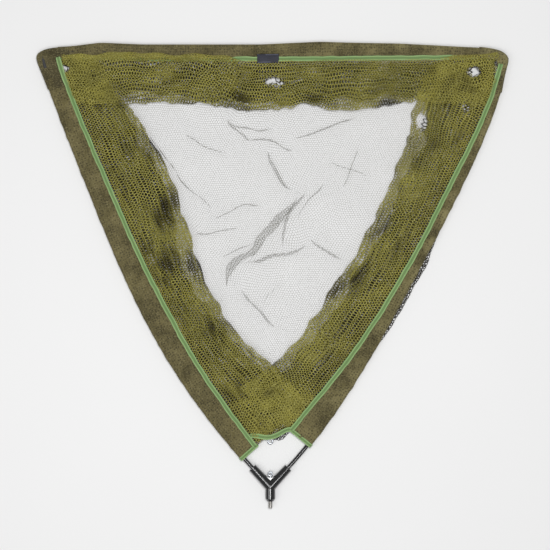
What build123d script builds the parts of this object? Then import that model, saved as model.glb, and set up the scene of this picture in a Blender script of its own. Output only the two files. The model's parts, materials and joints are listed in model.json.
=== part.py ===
"""Triangular carp landing net, laid out on the ground with its arms in the spreader block.

The origin is where the handle stud leaves the block. +Y runs from there over the net, +X to the
right and +Z up. All lengths are in millimetres and all angles in degrees.
"""

from build123d import *
from math import cos, radians, sin
import os

os.makedirs("parts", exist_ok=True)

# Handle stud: 3/8 inch BSF, the thread of bank sticks and landing net handles
stud_diameter = 9.525
stud_length = 16.0
stud_chamfer = 0.8
stud_shank_diameter = 13.0
stud_shank_length = 18.0

# Spreader block
boss_diameter = 22.0
nose_diameter = 14.5
nose_length = 5.5
vertex_y = 31.0
socket_angle = 43.0
socket_reach = 58.3
socket_floor = 14.0
socket_root_diameter = 22.5
socket_mouth_diameter = 19.0
socket_lip = 0.9
socket_clearance = 0.1
web_reach = 14.0
web_thickness = 8.0

# Keeper eye in the block's crotch
eye_diameter = 12.2
eye_wire = 3.6
eye_y = 59.5
eye_stem_diameter = 5.0
eye_stem_end_y = 42.0

# Arms: glass-fibre tubes that leave the sockets straight and are bent by the top cord.
# The bends are the degrees that each equal span turns towards the net's axis, butt to tip.
arm_length = 1067.0
arm_diameter = 9.0
arm_wall = 1.5
arm_straight = 48.0
left_bends = (6.5, 6.0, 7.0, 1.5, 0.5, 5.0)
right_bends = (9.0, 4.0, 2.0, 1.0, 4.0, 11.0)
plug_length = 14.0
plug_flange = 1.2
cap_diameter = 12.0
cap_overlap = 24.0
cap_nose = 8.0
cap_clearance = 0.05

# Sleeves: the fabric tubes that the arms slide into, with a tape along the net's rim
sleeve_outer = 6.5
sleeve_height = 13.0
sleeve_bore_clearance = 0.4
tongue_low = -8.0
tongue_high = 3.0
left_tape_inset = (42.0, 36.0)
right_tape_inset = (48.0, 12.0)
inset_power = 2.5
left_cuff_reach = 93.0
right_cuff_reach = 131.0
cuff_length = 9.0
cuff_wall = 1.0
tape_width = 10.0
tape_low = -1.0
tape_high = 4.0
pocket_diameter = 17.0
pocket_overlap = 48.0
pocket_nose = 4.0
pocket_clearance = 0.3
corner_margin = 23.0

# Far side of the rim; each rise is measured from halfway between the arms' tips
top_tape_rise = 1.7
top_edge_rise = 34.7
top_edge_bow = 12.0
top_sleeve_low = -9.0
top_sleeve_high = 5.0
cord_diameter = 3.0
cord_rise = 16.7
cord_bore_clearance = 0.3
knot_diameter = 7.5
knot_length = 9.0
label_width = 48.0
label_length = 20.0
label_thickness = 1.0
label_x = -5.0

# Near side of the rim, between the cuffs. The front tape starts past the left cuff and ends before
# the far edge of the right one, each inside its side tape, and sags between them at two places.
front_tape_ends = ((18.5, 6.2), (-3.0, 8.8))
front_tape_sags = ((0.25, 10.5), (0.70, 8.0))
eyelet_diameter = 14.0
eyelet_hole = 7.0
eyelet_thickness = 2.4
eyelet_drop = 9.0

# Netting, with its walls folded down round the base
ground = -socket_root_diameter / 2
wall_top = 5.0
wall_band = 150.0
top_wall_band = 98.0
front_net_gap = 2.0
base_nose = 24.0
base_thickness = 3.0
gap = 0.3
net_gap = 1.5

# Worked out from the sizes above
arm_radius = arm_diameter / 2
span_length = (socket_floor + arm_length - arm_straight) / len(left_bends)
tip_reach = socket_floor + arm_length
half_tape = tape_width / 2
LEFT, RIGHT = -1, 1


def on_arm(side, reach, inset=0.0):
    """The point `reach` along an arm from the block's vertex, moved `inset` towards the net."""
    bends = left_bends if side == LEFT else right_bends
    angle = radians(socket_angle)
    straight = min(reach, arm_straight)
    x, y = straight * sin(angle), vertex_y + straight * cos(angle)
    rest = reach - straight
    for bend in bends:
        run = min(rest, span_length)
        if run <= 0:
            break
        turn = radians(bend) * run / span_length
        chord = 2 * run / turn * sin(turn / 2)
        x += chord * sin(angle - turn / 2)
        y += chord * cos(angle - turn / 2)
        angle -= turn
        rest -= run
    x += max(rest, 0) * sin(angle)
    y += max(rest, 0) * cos(angle)
    return side * (x - inset * cos(angle)), y + inset * sin(angle)


def arm_line(side, start, end):
    """Adds an arm's centreline between two reaches: a straight butt, then one arc for each span."""
    bends = left_bends if side == LEFT else right_bends
    if start < arm_straight:
        Line(on_arm(side, start), on_arm(side, arm_straight))
    turned = 0.0
    for index, bend in enumerate(bends):
        first = max(start, arm_straight + index * span_length)
        last = min(end, arm_straight + (index + 1) * span_length)
        if last - first > 0.01:
            skipped = bend * (first - arm_straight - index * span_length) / span_length
            angle = radians(socket_angle - turned - skipped)
            heading = (side * sin(angle), cos(angle))
            turn = bend * (last - first) / span_length
            radius = (last - first) / radians(turn)
            JernArc(on_arm(side, first), heading, radius, side * turn)
        turned += bend
    if end > tip_reach + 0.01:
        Line(on_arm(side, tip_reach), on_arm(side, end))


def arm_plane(side, reach):
    """A plane square to an arm at `reach`, facing the tip."""
    here, ahead = on_arm(side, reach), on_arm(side, reach + 0.1)
    return Plane(origin=(*here, 0), z_dir=(ahead[0] - here[0], ahead[1] - here[1], 0))


def arm_tube(side, start, end, radius, hole=0.0):
    """A round tube, or a rod if `hole` is 0, along an arm's centreline."""
    with BuildPart() as tube:
        with BuildLine() as path:
            arm_line(side, start, end)
        with BuildSketch(arm_plane(side, start)):
            Circle(radius)
            if hole:
                Circle(hole, mode=Mode.SUBTRACT)
        sweep(path=path.line)
    return tube.part


def tape_inset(side, reach):
    """How far inside the arm the rim tape's centre runs: wide at the cuff, narrower at the tip."""
    low, high = left_tape_inset if side == LEFT else right_tape_inset
    share = (tip_reach - reach) / (tip_reach - arm_straight)
    return high + (low - high) * max(share, 0.0) ** inset_power


def tape_edge(side, reach):
    """The inset of a rim tape's edge next to the sleeve, which stays clear of the sleeve's tube."""
    return max(tape_inset(side, reach) - half_tape, sleeve_outer + gap)


def net_edge(side, reach):
    """The inset of a rim tape's edge next to the netting."""
    return tape_edge(side, reach) + tape_width


def cuff_reach(side):
    return left_cuff_reach if side == LEFT else right_cuff_reach


def front_end(side):
    """The end of the front tape's centreline that is sewn to one side's tape."""
    past_cuff, inside = front_tape_ends[0] if side == LEFT else front_tape_ends[1]
    reach = cuff_reach(side) + past_cuff
    return Vector(*on_arm(side, reach, net_edge(side, cuff_reach(side)) + inside))


def corner_plane(side, shift=0.0):
    """The mitre between an arm's own fabric and the far side of the rim, along the arm's pull."""
    x, y = on_arm(side, tip_reach)
    across = (-side * cos(radians(socket_angle)), sin(radians(socket_angle)), 0)
    return Plane(origin=(x, y + corner_margin + shift, 0), z_dir=across)


def strip(side, start, end, near, far, stations=7):
    """The face between two insets along an arm; each inset is a function of the reach."""
    reaches = [start + (end - start) * i / (stations - 1) for i in range(stations)]
    with BuildSketch() as face:
        with BuildLine():
            outside = Spline([on_arm(side, r, near(r)) for r in reaches])
            inside = Spline([on_arm(side, r, far(r)) for r in reaches])
            Line(outside @ 0, inside @ 0)
            Line(outside @ 1, inside @ 1)
        make_face()
    return face.sketch


# --- Handle stud ---------------------------------------------------------------------------------
with BuildPart() as handle_stud:
    with BuildSketch(Plane.XZ):
        Circle(stud_diameter / 2)
    extrude(amount=stud_length)
    chamfer(handle_stud.faces().sort_by(Axis.Y)[0].edges(), stud_chamfer)
    with BuildSketch(Plane.XZ):
        Circle(stud_shank_diameter / 2)
    extrude(amount=-stud_shank_length)
    with BuildSketch(Plane.XZ.offset(-stud_shank_length / 2)):
        Circle(stud_shank_diameter / 2)
        Circle(stud_diameter / 2, mode=Mode.SUBTRACT)
    extrude(amount=stud_shank_length / 12, both=True, mode=Mode.SUBTRACT)
handle_stud.part.label = "handle_stud"

# --- Keeper eye ----------------------------------------------------------------------------------
eye_radius = (eye_diameter - eye_wire) / 2
with BuildPart() as keeper_eye:
    with BuildSketch(Plane.XZ.offset(-eye_y)):
        with Locations((eye_radius, 0)):
            Circle(eye_wire / 2)
    revolve(axis=Axis((0, eye_y, 0), (0, 0, 1)), revolution_arc=360)
    with BuildSketch(Plane.XZ.offset(-eye_stem_end_y)):
        Circle(eye_stem_diameter / 2)
    extrude(amount=-(eye_y - eye_radius - eye_stem_end_y))
keeper_eye.part.label = "keeper_eye"

# --- Spreader block ------------------------------------------------------------------------------
socket_planes = {side: arm_plane(side, 0) for side in (LEFT, RIGHT)}
with BuildPart() as spreader_block:
    with BuildSketch(Plane.XY):
        with BuildLine():
            Polyline(
                (0, 0),
                (nose_diameter / 2, 0),
                (boss_diameter / 2, nose_length),
                (boss_diameter / 2, vertex_y),
                (0, vertex_y),
                close=True,
            )
        make_face()
    revolve(axis=Axis.Y)
    with Locations((0, vertex_y, 0)):
        Sphere(socket_root_diameter / 2)
    for side in (LEFT, RIGHT):
        with BuildSketch(socket_planes[side]):
            Circle(socket_root_diameter / 2)
        with BuildSketch(socket_planes[side].offset(socket_reach)):
            Circle(socket_mouth_diameter / 2)
        loft()
    with BuildSketch(Plane.XY):
        with BuildLine():
            Polyline(
                (0, vertex_y),
                on_arm(RIGHT, web_reach + 10),
                on_arm(RIGHT, web_reach + 10, socket_mouth_diameter / 2 - 1),
                (0, on_arm(RIGHT, web_reach, socket_root_diameter / 2)[1] + 2),
                on_arm(LEFT, web_reach + 10, socket_mouth_diameter / 2 - 1),
                on_arm(LEFT, web_reach + 10),
                close=True,
            )
        make_face()
    extrude(amount=web_thickness / 2, both=True)
    for side in (LEFT, RIGHT):
        lip = spreader_block.edges().filter_by(GeomType.CIRCLE)
        lip = lip.sort_by_distance(Vector(*on_arm(side, socket_reach), 0))[0]
        fillet(lip, socket_lip)
    for side in (LEFT, RIGHT):
        with BuildSketch(socket_planes[side].offset(socket_floor)):
            Circle(arm_radius + socket_clearance)
        extrude(amount=socket_reach, mode=Mode.SUBTRACT)
    add(handle_stud.part, mode=Mode.SUBTRACT)
    add(keeper_eye.part, mode=Mode.SUBTRACT)
spreader_block.part.label = "spreader_block"

for piece in (handle_stud, keeper_eye, spreader_block):
    export_step(piece.part, f"parts/{piece.part.label}.step")

# --- Arms, with the plug in each butt and the cap on each tip -------------------------------------
for side, name in ((LEFT, "left"), (RIGHT, "right")):
    with BuildPart() as arm:
        add(arm_tube(side, socket_floor + plug_flange, tip_reach, arm_radius, arm_radius - arm_wall))
    arm.part.label = f"{name}_arm"

    with BuildPart() as plug:
        with BuildSketch(arm_plane(side, socket_floor)):
            Circle(arm_radius)
        extrude(amount=plug_flange)
        with BuildSketch(arm_plane(side, socket_floor)):
            Circle(arm_radius - arm_wall)
        extrude(amount=plug_length)
    plug.part.label = f"{name}_butt_plug"

    cap_start = tip_reach - cap_overlap
    with BuildPart() as cap:
        add(arm_tube(side, cap_start, tip_reach + cap_nose, cap_diameter / 2))
        fillet(cap.edges().filter_by(GeomType.CIRCLE).sort_by(Axis.Y)[-1], cap_diameter / 6)
        add(arm_tube(side, cap_start - 1, tip_reach, arm_radius + cap_clearance), mode=Mode.SUBTRACT)
    cap.part.label = f"{name}_tip_cap"

    # --- The corner pocket over the tip cap ---
    pocket_start = tip_reach - pocket_overlap
    pocket_end = tip_reach + cap_nose + pocket_nose
    cap_room = cap_diameter / 2 + pocket_clearance
    with BuildPart() as pocket:
        add(arm_tube(side, pocket_start, pocket_end, pocket_diameter / 2))
        fillet(pocket.edges().filter_by(GeomType.CIRCLE).sort_by(Axis.Y)[-1], pocket_diameter / 4)
        add(arm_tube(side, pocket_start - 1, tip_reach + cap_nose + gap, cap_room), mode=Mode.SUBTRACT)
    pocket.part.label = f"{name}_corner_pocket"

    # --- The sleeve: a tube round the arm, and its flat side that runs in to the tape ---
    cuff_start = cuff_reach(side)
    sleeve_start = cuff_start + cuff_length + gap
    bore = arm_radius + sleeve_bore_clearance
    pocket_radius = pocket_diameter / 2 + gap
    pocket_room = arm_tube(side, pocket_start - 2 * gap, pocket_end + corner_margin, pocket_radius)
    with BuildPart() as sleeve:
        with BuildSketch(Plane.XY.offset(-sleeve_height / 2)):
            tube_end = pocket_start - gap
            add(strip(side, sleeve_start, tube_end, lambda r: -sleeve_outer, lambda r: sleeve_outer))
        extrude(amount=sleeve_height)
        with BuildSketch(Plane.XY.offset(tongue_low)):
            add(strip(side, sleeve_start, tip_reach, lambda r: 0.0, lambda r: tape_edge(side, r) - gap))
        extrude(amount=tongue_high - tongue_low)
        split(bisect_by=corner_plane(side, -gap), keep=Keep.BOTTOM)
        add(arm_tube(side, cuff_start, pocket_start, bore), mode=Mode.SUBTRACT)
        add(pocket_room, mode=Mode.SUBTRACT)
    sleeve.part.label = f"{name}_sleeve"

    with BuildPart() as tape:
        with BuildSketch(Plane.XY.offset(tape_low)):
            add(strip(side, sleeve_start, tip_reach, lambda r: tape_edge(side, r), lambda r: net_edge(side, r)))
        extrude(amount=tape_high - tape_low)
        split(bisect_by=corner_plane(side, -gap), keep=Keep.BOTTOM)
        add(pocket_room, mode=Mode.SUBTRACT)
    tape.part.label = f"{name}_rim_tape"

    with BuildPart() as cuff:
        with BuildSketch(Plane.XY.offset(-sleeve_height / 2 - cuff_wall)):
            cuff_end = cuff_start + cuff_length
            cuff_edge = -sleeve_outer - cuff_wall
            add(strip(side, cuff_start, cuff_end, lambda r: cuff_edge, lambda r: net_edge(side, r), 3))
        extrude(amount=sleeve_height + 2 * cuff_wall)
        add(arm_tube(side, cuff_start - 1, cuff_end + 1, bore), mode=Mode.SUBTRACT)
    cuff.part.label = f"{name}_cuff"

    for piece in (arm, plug, cap, pocket, sleeve, tape, cuff):
        export_step(piece.part, f"parts/{piece.part.label}.step")

# --- Far side of the rim: cord, sleeve, tape and label --------------------------------------------
corner_x = {side: on_arm(side, tip_reach)[0] for side in (LEFT, RIGHT)}
tips_y = (on_arm(LEFT, tip_reach)[1] + on_arm(RIGHT, tip_reach)[1]) / 2
top_tape_y, top_edge_y, cord_y = tips_y + top_tape_rise, tips_y + top_edge_rise, tips_y + cord_rise
knot_x = {side: corner_x[side] - side * (corner_margin + knot_diameter) for side in (LEFT, RIGHT)}
with BuildPart() as top_cord:
    with BuildSketch(Plane.YZ.offset(knot_x[LEFT])):
        with Locations((cord_y, 0)):
            Circle(cord_diameter / 2)
    extrude(amount=knot_x[RIGHT] - knot_x[LEFT])
top_cord.part.label = "top_cord"

with BuildPart() as cord_knots:
    for side in (LEFT, RIGHT):
        with BuildSketch(Plane.YZ.offset(knot_x[side])):
            with Locations((cord_y, 0)):
                Circle(knot_diameter / 2)
                Circle(cord_diameter / 2, mode=Mode.SUBTRACT)
        extrude(amount=knot_length / 2, both=True)
    fillet(cord_knots.edges().filter_by(GeomType.CIRCLE).group_by(SortBy.RADIUS)[-1], knot_diameter / 5)
cord_knots.part.label = "cord_knots"

tape_edge_y = top_tape_y + half_tape
with BuildPart() as top_sleeve:
    with BuildSketch(Plane.XY.offset(top_sleeve_low)):
        with BuildLine():
            far_edge = ThreePointArc(
                (corner_x[LEFT], top_edge_y - top_edge_bow),
                (0, top_edge_y),
                (corner_x[RIGHT], top_edge_y - top_edge_bow),
            )
            Polyline(
                far_edge @ 1,
                (corner_x[RIGHT], tape_edge_y + gap),
                (corner_x[LEFT], tape_edge_y + gap),
                far_edge @ 0,
            )
        make_face()
    extrude(amount=top_sleeve_high - top_sleeve_low)
    for side in (LEFT, RIGHT):
        split(bisect_by=corner_plane(side, gap), keep=Keep.TOP)
    with BuildSketch(Plane.YZ.offset(corner_x[LEFT] - 1)):
        with Locations((cord_y, 0)):
            Circle(cord_diameter / 2 + cord_bore_clearance)
    extrude(amount=corner_x[RIGHT] - corner_x[LEFT] + 2, mode=Mode.SUBTRACT)
    for side in (LEFT, RIGHT):
        with BuildSketch(Plane.YZ.offset(knot_x[side])):
            with Locations((cord_y, 0)):
                Circle(knot_diameter / 2 + cord_bore_clearance)
        extrude(amount=knot_length / 2 + cord_bore_clearance, both=True, mode=Mode.SUBTRACT)
top_sleeve.part.label = "top_sleeve"

with BuildPart() as top_tape:
    with BuildSketch(Plane.XY.offset(tape_low)):
        with Locations(((corner_x[LEFT] + corner_x[RIGHT]) / 2, top_tape_y)):
            Rectangle(corner_x[RIGHT] - corner_x[LEFT], tape_width)
    extrude(amount=tape_high - tape_low)
    for side in (LEFT, RIGHT):
        split(bisect_by=corner_plane(side, gap), keep=Keep.TOP)
top_tape.part.label = "top_rim_tape"

with BuildPart() as label_tag:
    with BuildSketch(Plane.XY.offset(top_sleeve_high)):
        with Locations((label_x, top_tape_y)):
            Rectangle(label_width, label_length)
    extrude(amount=label_thickness)
    with BuildSketch(Plane.XY.offset(tape_high)):
        with Locations((label_x, top_tape_y)):
            Rectangle(label_width, tape_width)
    extrude(amount=top_sleeve_high - tape_high)
label_tag.part.label = "label_tag"

# --- Near side of the rim: tape and eyelet --------------------------------------------------------
tape_start, tape_end = front_end(LEFT), front_end(RIGHT)
tape_span = tape_end - tape_start
sag_way = Vector(tape_span.Y, -tape_span.X).normalized()
sag_points = [tape_start + tape_span * share + sag_way * sag for share, sag in front_tape_sags]
with BuildPart() as front_tape:
    with BuildSketch(Plane.XY.offset(tape_low)):
        with BuildLine():
            Spline(tape_start, *sag_points, tape_end)
        trace(line_width=tape_width)
    extrude(amount=tape_high - tape_low)
front_tape.part.label = "front_rim_tape"

with BuildPart() as rim_eyelet:
    with BuildSketch(Plane.XY.offset(tape_low - eyelet_thickness)):
        with Locations((0, sag_points[0].Y - eyelet_drop)):
            Circle(eyelet_diameter / 2)
            Circle(eyelet_hole / 2, mode=Mode.SUBTRACT)
    extrude(amount=eyelet_thickness)
rim_eyelet.part.label = "rim_eyelet"

# --- Netting: three walls folded down round the base ----------------------------------------------
def rim_point(side, reach, extra):
    """A point on the line that runs `extra` inside a rim tape's inner edge."""
    return on_arm(side, reach, net_edge(side, reach) + net_gap + extra)


def rim_reach(side, extra, axis, value):
    """The reach at which that line's distance from the net's axis (0) or from the block (1) is `value`."""
    low, high = 0.0, 2 * tip_reach
    for _ in range(40):
        middle = (low + high) / 2
        point = rim_point(side, middle, extra)
        if (side * point[0], point[1])[axis] < value:
            low = middle
        else:
            high = middle
    return low


def net_region(extra, near_axis, near_value, far_y, stations=7):
    """The face between the two rim tapes, moved in by `extra`, from its near end to `far_y`."""
    with BuildSketch() as region:
        with BuildLine():
            edges = []
            for side in (LEFT, RIGHT):
                first = rim_reach(side, extra, near_axis, near_value)
                last = rim_reach(side, extra, 1, far_y)
                reaches = [first + (last - first) * i / (stations - 1) for i in range(stations)]
                edges.append(Spline([rim_point(side, r, extra) for r in reaches]))
            Line(edges[0] @ 0, edges[1] @ 0)
            Line(edges[0] @ 1, edges[1] @ 1)
        make_face()
    return region.sketch


net_far_y = top_tape_y - half_tape - gap
front_net_y = max(tape_start.Y, tape_end.Y) + half_tape + front_net_gap
base_far_y = net_far_y - top_wall_band
with BuildPart() as net_base:
    with BuildSketch(Plane.XY.offset(ground)):
        add(net_region(wall_band, 0, base_nose / 2, base_far_y))
    extrude(amount=base_thickness)
net_base.part.label = "net_base"

with BuildPart() as top_wall:
    with BuildSketch(Plane.XY.offset(ground)):
        add(net_region(0, 1, base_far_y + gap, net_far_y))
    extrude(amount=wall_top - ground)
top_wall.part.label = "top_net_wall"

net_pieces = [net_base, top_wall]
for side, name in ((LEFT, "left"), (RIGHT, "right")):
    with BuildPart() as wall:
        with BuildSketch(Plane.XY.offset(ground)):
            add(net_region(0, 1, front_net_y, base_far_y))
            add(net_region(wall_band - gap, 0, base_nose / 2 + gap, base_far_y), mode=Mode.SUBTRACT)
            with Locations((-side * (tip_reach - gap / 2), tip_reach)):
                Rectangle(2 * tip_reach, 3 * tip_reach, mode=Mode.SUBTRACT)
        extrude(amount=wall_top - ground)
    wall.part.label = f"{name}_net_wall"
    net_pieces.append(wall)

rim_pieces = (top_cord, cord_knots, top_sleeve, top_tape, label_tag, front_tape, rim_eyelet)
for piece in (*rim_pieces, *net_pieces):
    export_step(piece.part, f"parts/{piece.part.label}.step")
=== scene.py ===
"""A triangular landing net laid out on the ground, dressed round its CAD frame.

Lengths are in metres in the frame's own axes: the origin is where the stud leaves the block, +Y
runs over the net, +X to the right and +Z up.
"""

import json
import math

import bmesh
import bpy
import numpy as np
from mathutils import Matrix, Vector

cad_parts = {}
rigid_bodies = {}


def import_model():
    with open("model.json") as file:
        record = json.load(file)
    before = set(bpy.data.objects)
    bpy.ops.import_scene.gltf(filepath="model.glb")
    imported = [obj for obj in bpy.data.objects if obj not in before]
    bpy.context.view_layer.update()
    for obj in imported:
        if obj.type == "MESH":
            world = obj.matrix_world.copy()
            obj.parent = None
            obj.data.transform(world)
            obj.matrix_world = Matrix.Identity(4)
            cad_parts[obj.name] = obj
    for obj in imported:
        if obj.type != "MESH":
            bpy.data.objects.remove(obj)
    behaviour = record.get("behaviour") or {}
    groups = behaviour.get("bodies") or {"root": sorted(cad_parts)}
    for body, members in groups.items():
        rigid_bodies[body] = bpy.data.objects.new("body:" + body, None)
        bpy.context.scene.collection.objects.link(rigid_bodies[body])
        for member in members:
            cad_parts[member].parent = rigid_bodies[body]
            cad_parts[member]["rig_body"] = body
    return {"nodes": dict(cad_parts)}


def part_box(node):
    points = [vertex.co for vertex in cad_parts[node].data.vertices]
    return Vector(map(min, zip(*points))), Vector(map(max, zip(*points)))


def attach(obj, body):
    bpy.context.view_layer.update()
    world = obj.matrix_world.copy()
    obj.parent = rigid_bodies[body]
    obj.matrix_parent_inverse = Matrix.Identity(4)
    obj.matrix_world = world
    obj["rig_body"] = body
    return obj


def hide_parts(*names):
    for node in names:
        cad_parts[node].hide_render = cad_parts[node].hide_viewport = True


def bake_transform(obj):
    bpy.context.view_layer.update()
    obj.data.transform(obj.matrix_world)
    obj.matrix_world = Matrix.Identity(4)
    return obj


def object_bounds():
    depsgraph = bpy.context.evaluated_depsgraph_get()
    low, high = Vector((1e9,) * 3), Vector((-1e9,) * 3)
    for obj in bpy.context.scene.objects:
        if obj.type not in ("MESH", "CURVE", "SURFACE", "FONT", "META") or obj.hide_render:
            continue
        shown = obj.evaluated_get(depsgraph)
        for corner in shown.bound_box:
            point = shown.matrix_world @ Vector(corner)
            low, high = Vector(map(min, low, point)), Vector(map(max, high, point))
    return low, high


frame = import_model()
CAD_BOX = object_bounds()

bl_info = {
    "name": "Landing Net",
    "version": (1, 0, 0),
    "blender": (4, 5, 0),
    "location": "3D View > Sidebar > Landing Net",
    "description": "Builds a carp landing net with its arms, sleeves, rim tape and soft mesh bag",
    "category": "Add Mesh",
}

MM = 0.001
SIDES = (("left", -1), ("right", 1))
HEX_ROW = math.sin(math.radians(60))


# --- Small tools ---------------------------------------------------------------------------------
def linear(code):
    """An sRGB hex colour as linear red, green, blue and alpha."""
    parts = [int(code[i : i + 2], 16) / 255 for i in (1, 3, 5)]
    return [c / 12.92 if c <= 0.04045 else ((c + 0.055) / 1.055) ** 2.4 for c in parts] + [1.0]


def smooth(share):
    """0 below 0, 1 above 1, and an S-curve between them."""
    share = np.clip(share, 0.0, 1.0)
    return share * share * (3 - 2 * share)


def along(points, at, blur=0.05):
    """A value that runs smoothly through (place, value) points, read at the places `at`."""
    places, values = np.array(points, float).T
    grid = np.linspace(places[0] - 0.2, places[-1] + 0.2, 700)
    line = np.interp(grid, places, values)
    half = max(int(blur / (grid[1] - grid[0])), 1)
    kernel = np.hanning(2 * half + 3)
    padded = np.pad(line, half + 1, mode="edge")
    return np.interp(at, grid, np.convolve(padded, kernel / kernel.sum(), "valid"))


def waves(x, y, seed, longest, shortest, count=14, turn=None, spread=math.pi):
    """Seeded ripples of unit height: sines whose lengths lie between two sizes."""
    draw = np.random.default_rng(seed)
    total = np.zeros(np.broadcast(x, y).shape)
    weight = 0.0
    for _ in range(count):
        length = math.exp(draw.uniform(math.log(shortest), math.log(longest)))
        way = draw.uniform(-spread, spread) + (turn or 0.0)
        size = (length / longest) ** 0.7
        phase = draw.uniform(0, 2 * math.pi)
        total += size * np.sin((x * math.cos(way) + y * math.sin(way)) * 2 * math.pi / length + phase)
        weight += size * size / 2
    return total / math.sqrt(weight) / 1.6


def new_object(name, points, faces, uv=None):
    """A mesh object from points and faces, with an optional UV for each point."""
    mesh = bpy.data.meshes.new(name)
    mesh.from_pydata([tuple(p) for p in points], [], [tuple(int(i) for i in f) for f in faces])
    if uv is not None:
        corners = np.zeros(len(mesh.loops), np.int32)
        mesh.loops.foreach_get("vertex_index", corners)
        layer = mesh.uv_layers.new(name="UVMap")
        layer.data.foreach_set("uv", np.asarray(uv, np.float32)[corners].ravel())
    mesh.validate()
    mesh.update()
    made = bpy.data.objects.new(name, mesh)
    bpy.context.scene.collection.objects.link(made)
    return made


def finish_piece(made, body, material, replaced=(), smooth_shading=True):
    """Gives a piece its finish and its body, and hides the CAD nodes that it stands for."""
    if material is not None:
        made.data.materials.clear()
        made.data.materials.append(material)
    if smooth_shading:
        made.data.shade_smooth()
    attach(made, body)
    if replaced:
        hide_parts(*replaced)
    return made


def outward(made):
    """Merges doubles and turns the faces of a closed mesh outwards."""
    shape = bmesh.new()
    shape.from_mesh(made.data)
    bmesh.ops.remove_doubles(shape, verts=shape.verts, dist=1e-6)
    bmesh.ops.recalc_face_normals(shape, faces=shape.faces)
    shape.to_mesh(made.data)
    shape.free()
    made.data.update()
    return made


def tube_faces(rows, cols):
    """The faces of a closed tube whose points are rows of rings, with a cap at each end."""
    faces = []
    for r in range(rows - 1):
        for c in range(cols):
            d = (c + 1) % cols
            faces.append((r * cols + c, r * cols + d, (r + 1) * cols + d, (r + 1) * cols + c))
    faces.append(tuple(range(cols - 1, -1, -1)))
    faces.append(tuple((rows - 1) * cols + c for c in range(cols)))
    return faces


def swept(name, sections):
    """Skins a row of sections (n, m, 3) into a tube, with UVs in metres along and round it."""
    rows, cols = sections.shape[:2]
    step = np.linalg.norm(np.diff(sections.mean(1), axis=0), axis=1)
    length = np.concatenate([[0], np.cumsum(step)])
    ring = np.linalg.norm(np.diff(sections, axis=1), axis=2)
    around = np.concatenate([np.zeros((rows, 1)), np.cumsum(ring, axis=1)], axis=1)
    uv = np.stack([around, np.repeat(length[:, None], cols, 1)], axis=2).reshape(-1, 2)
    return outward(new_object(name, sections.reshape(-1, 3), tube_faces(rows, cols), uv))


def loop_curve(points, count):
    """A closed smooth line through points (n, 2), as `count` places round it."""
    points = np.asarray(points, float)
    size = len(points)
    spots = np.linspace(0, size, count, endpoint=False)
    index = spots.astype(int)
    t = (spots - index)[:, None]
    p0, p1, p2, p3 = (points[(index + k) % size] for k in (-1, 0, 1, 2))
    return 0.5 * (
        2 * p1 + (p2 - p0) * t + (2 * p0 - 5 * p1 + 4 * p2 - p3) * t**2
        + (3 * p1 - p0 - 3 * p2 + p3) * t**3
    )


class ArmLine:
    """An arm's centreline, read from the CAD tube, with places along it and in from it."""

    def __init__(self, name, side):
        cells = frame["nodes"][f"{name}_arm"].data.vertices
        points = np.array([v.co for v in cells])
        fit = np.polyfit(points[:, 1], points[:, 0], 6)
        y = np.linspace(points[:, 1].min(), points[:, 1].max(), 900)
        self.points = np.stack([np.polyval(fit, y), y], axis=1)
        step = np.linalg.norm(np.diff(self.points, axis=0), axis=1)
        self.runs = np.concatenate([[0], np.cumsum(step)])
        self.length = self.runs[-1]
        self.side = side

    def heading(self, run):
        ahead, behind = np.clip(run + 0.012, 0, self.length), np.clip(run - 0.012, 0, self.length)
        step = self.place(ahead) - self.place(behind)
        return step / np.linalg.norm(step, axis=-1, keepdims=True)

    def place(self, run):
        inside = np.clip(run, 0, self.length)
        x = np.interp(inside, self.runs, self.points[:, 0])
        y = np.interp(inside, self.runs, self.points[:, 1])
        return np.stack([x, y], axis=-1)

    def at(self, run, inset):
        """The point at a distance along the arm, moved towards the net."""
        run = np.asarray(run, float)
        head = self.heading(run)
        inward = np.stack([-self.side * head[..., 1], self.side * head[..., 0]], axis=-1)
        past = np.maximum(run - self.length, 0)[..., None] + np.minimum(run, 0)[..., None]
        return self.place(run) + head * past + inward * np.asarray(inset)[..., None]


ARMS = {name: ArmLine(name, side) for name, side in SIDES}
GROUND = CAD_BOX[0][2]
TOP_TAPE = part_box("top_rim_tape")
TOP_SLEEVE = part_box("top_sleeve")
TAPE_LINE_Y = (TOP_TAPE[0].y + TOP_TAPE[1].y) / 2
TAPE_HALF = (TOP_TAPE[1].y - TOP_TAPE[0].y) / 2

# How far in from each arm the rim tape runs, as (distance along the arm, inset)
TAPE_INSET = {
    "left": ((0.07, 0.036), (0.18, 0.041), (0.43, 0.047), (0.68, 0.041), (0.88, 0.036), (1.06, 0.033)),
    "right": ((0.10, 0.050), (0.19, 0.047), (0.29, 0.036), (0.42, 0.025), (0.58, 0.018),
              (0.78, 0.019), (0.90, 0.014), (1.06, 0.009)),
}
# How far in from the tape the folded walls reach, as (distance along the arm, width)
BAND_WIDTH = {
    "left": ((0.10, 0.150), (0.22, 0.135), (0.32, 0.110), (0.45, 0.104), (0.62, 0.127), (0.76, 0.133),
             (0.88, 0.122), (0.98, 0.090), (1.06, 0.080)),
    "right": ((0.10, 0.150), (0.26, 0.118), (0.42, 0.116), (0.58, 0.116), (0.72, 0.120),
              (0.84, 0.134), (0.92, 0.150), (0.98, 0.150), (1.06, 0.150)),
}
CUFF_RUN = {"left": 0.078, "right": 0.116}


def tape_inset(name, run):
    return along(TAPE_INSET[name], run)


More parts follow.
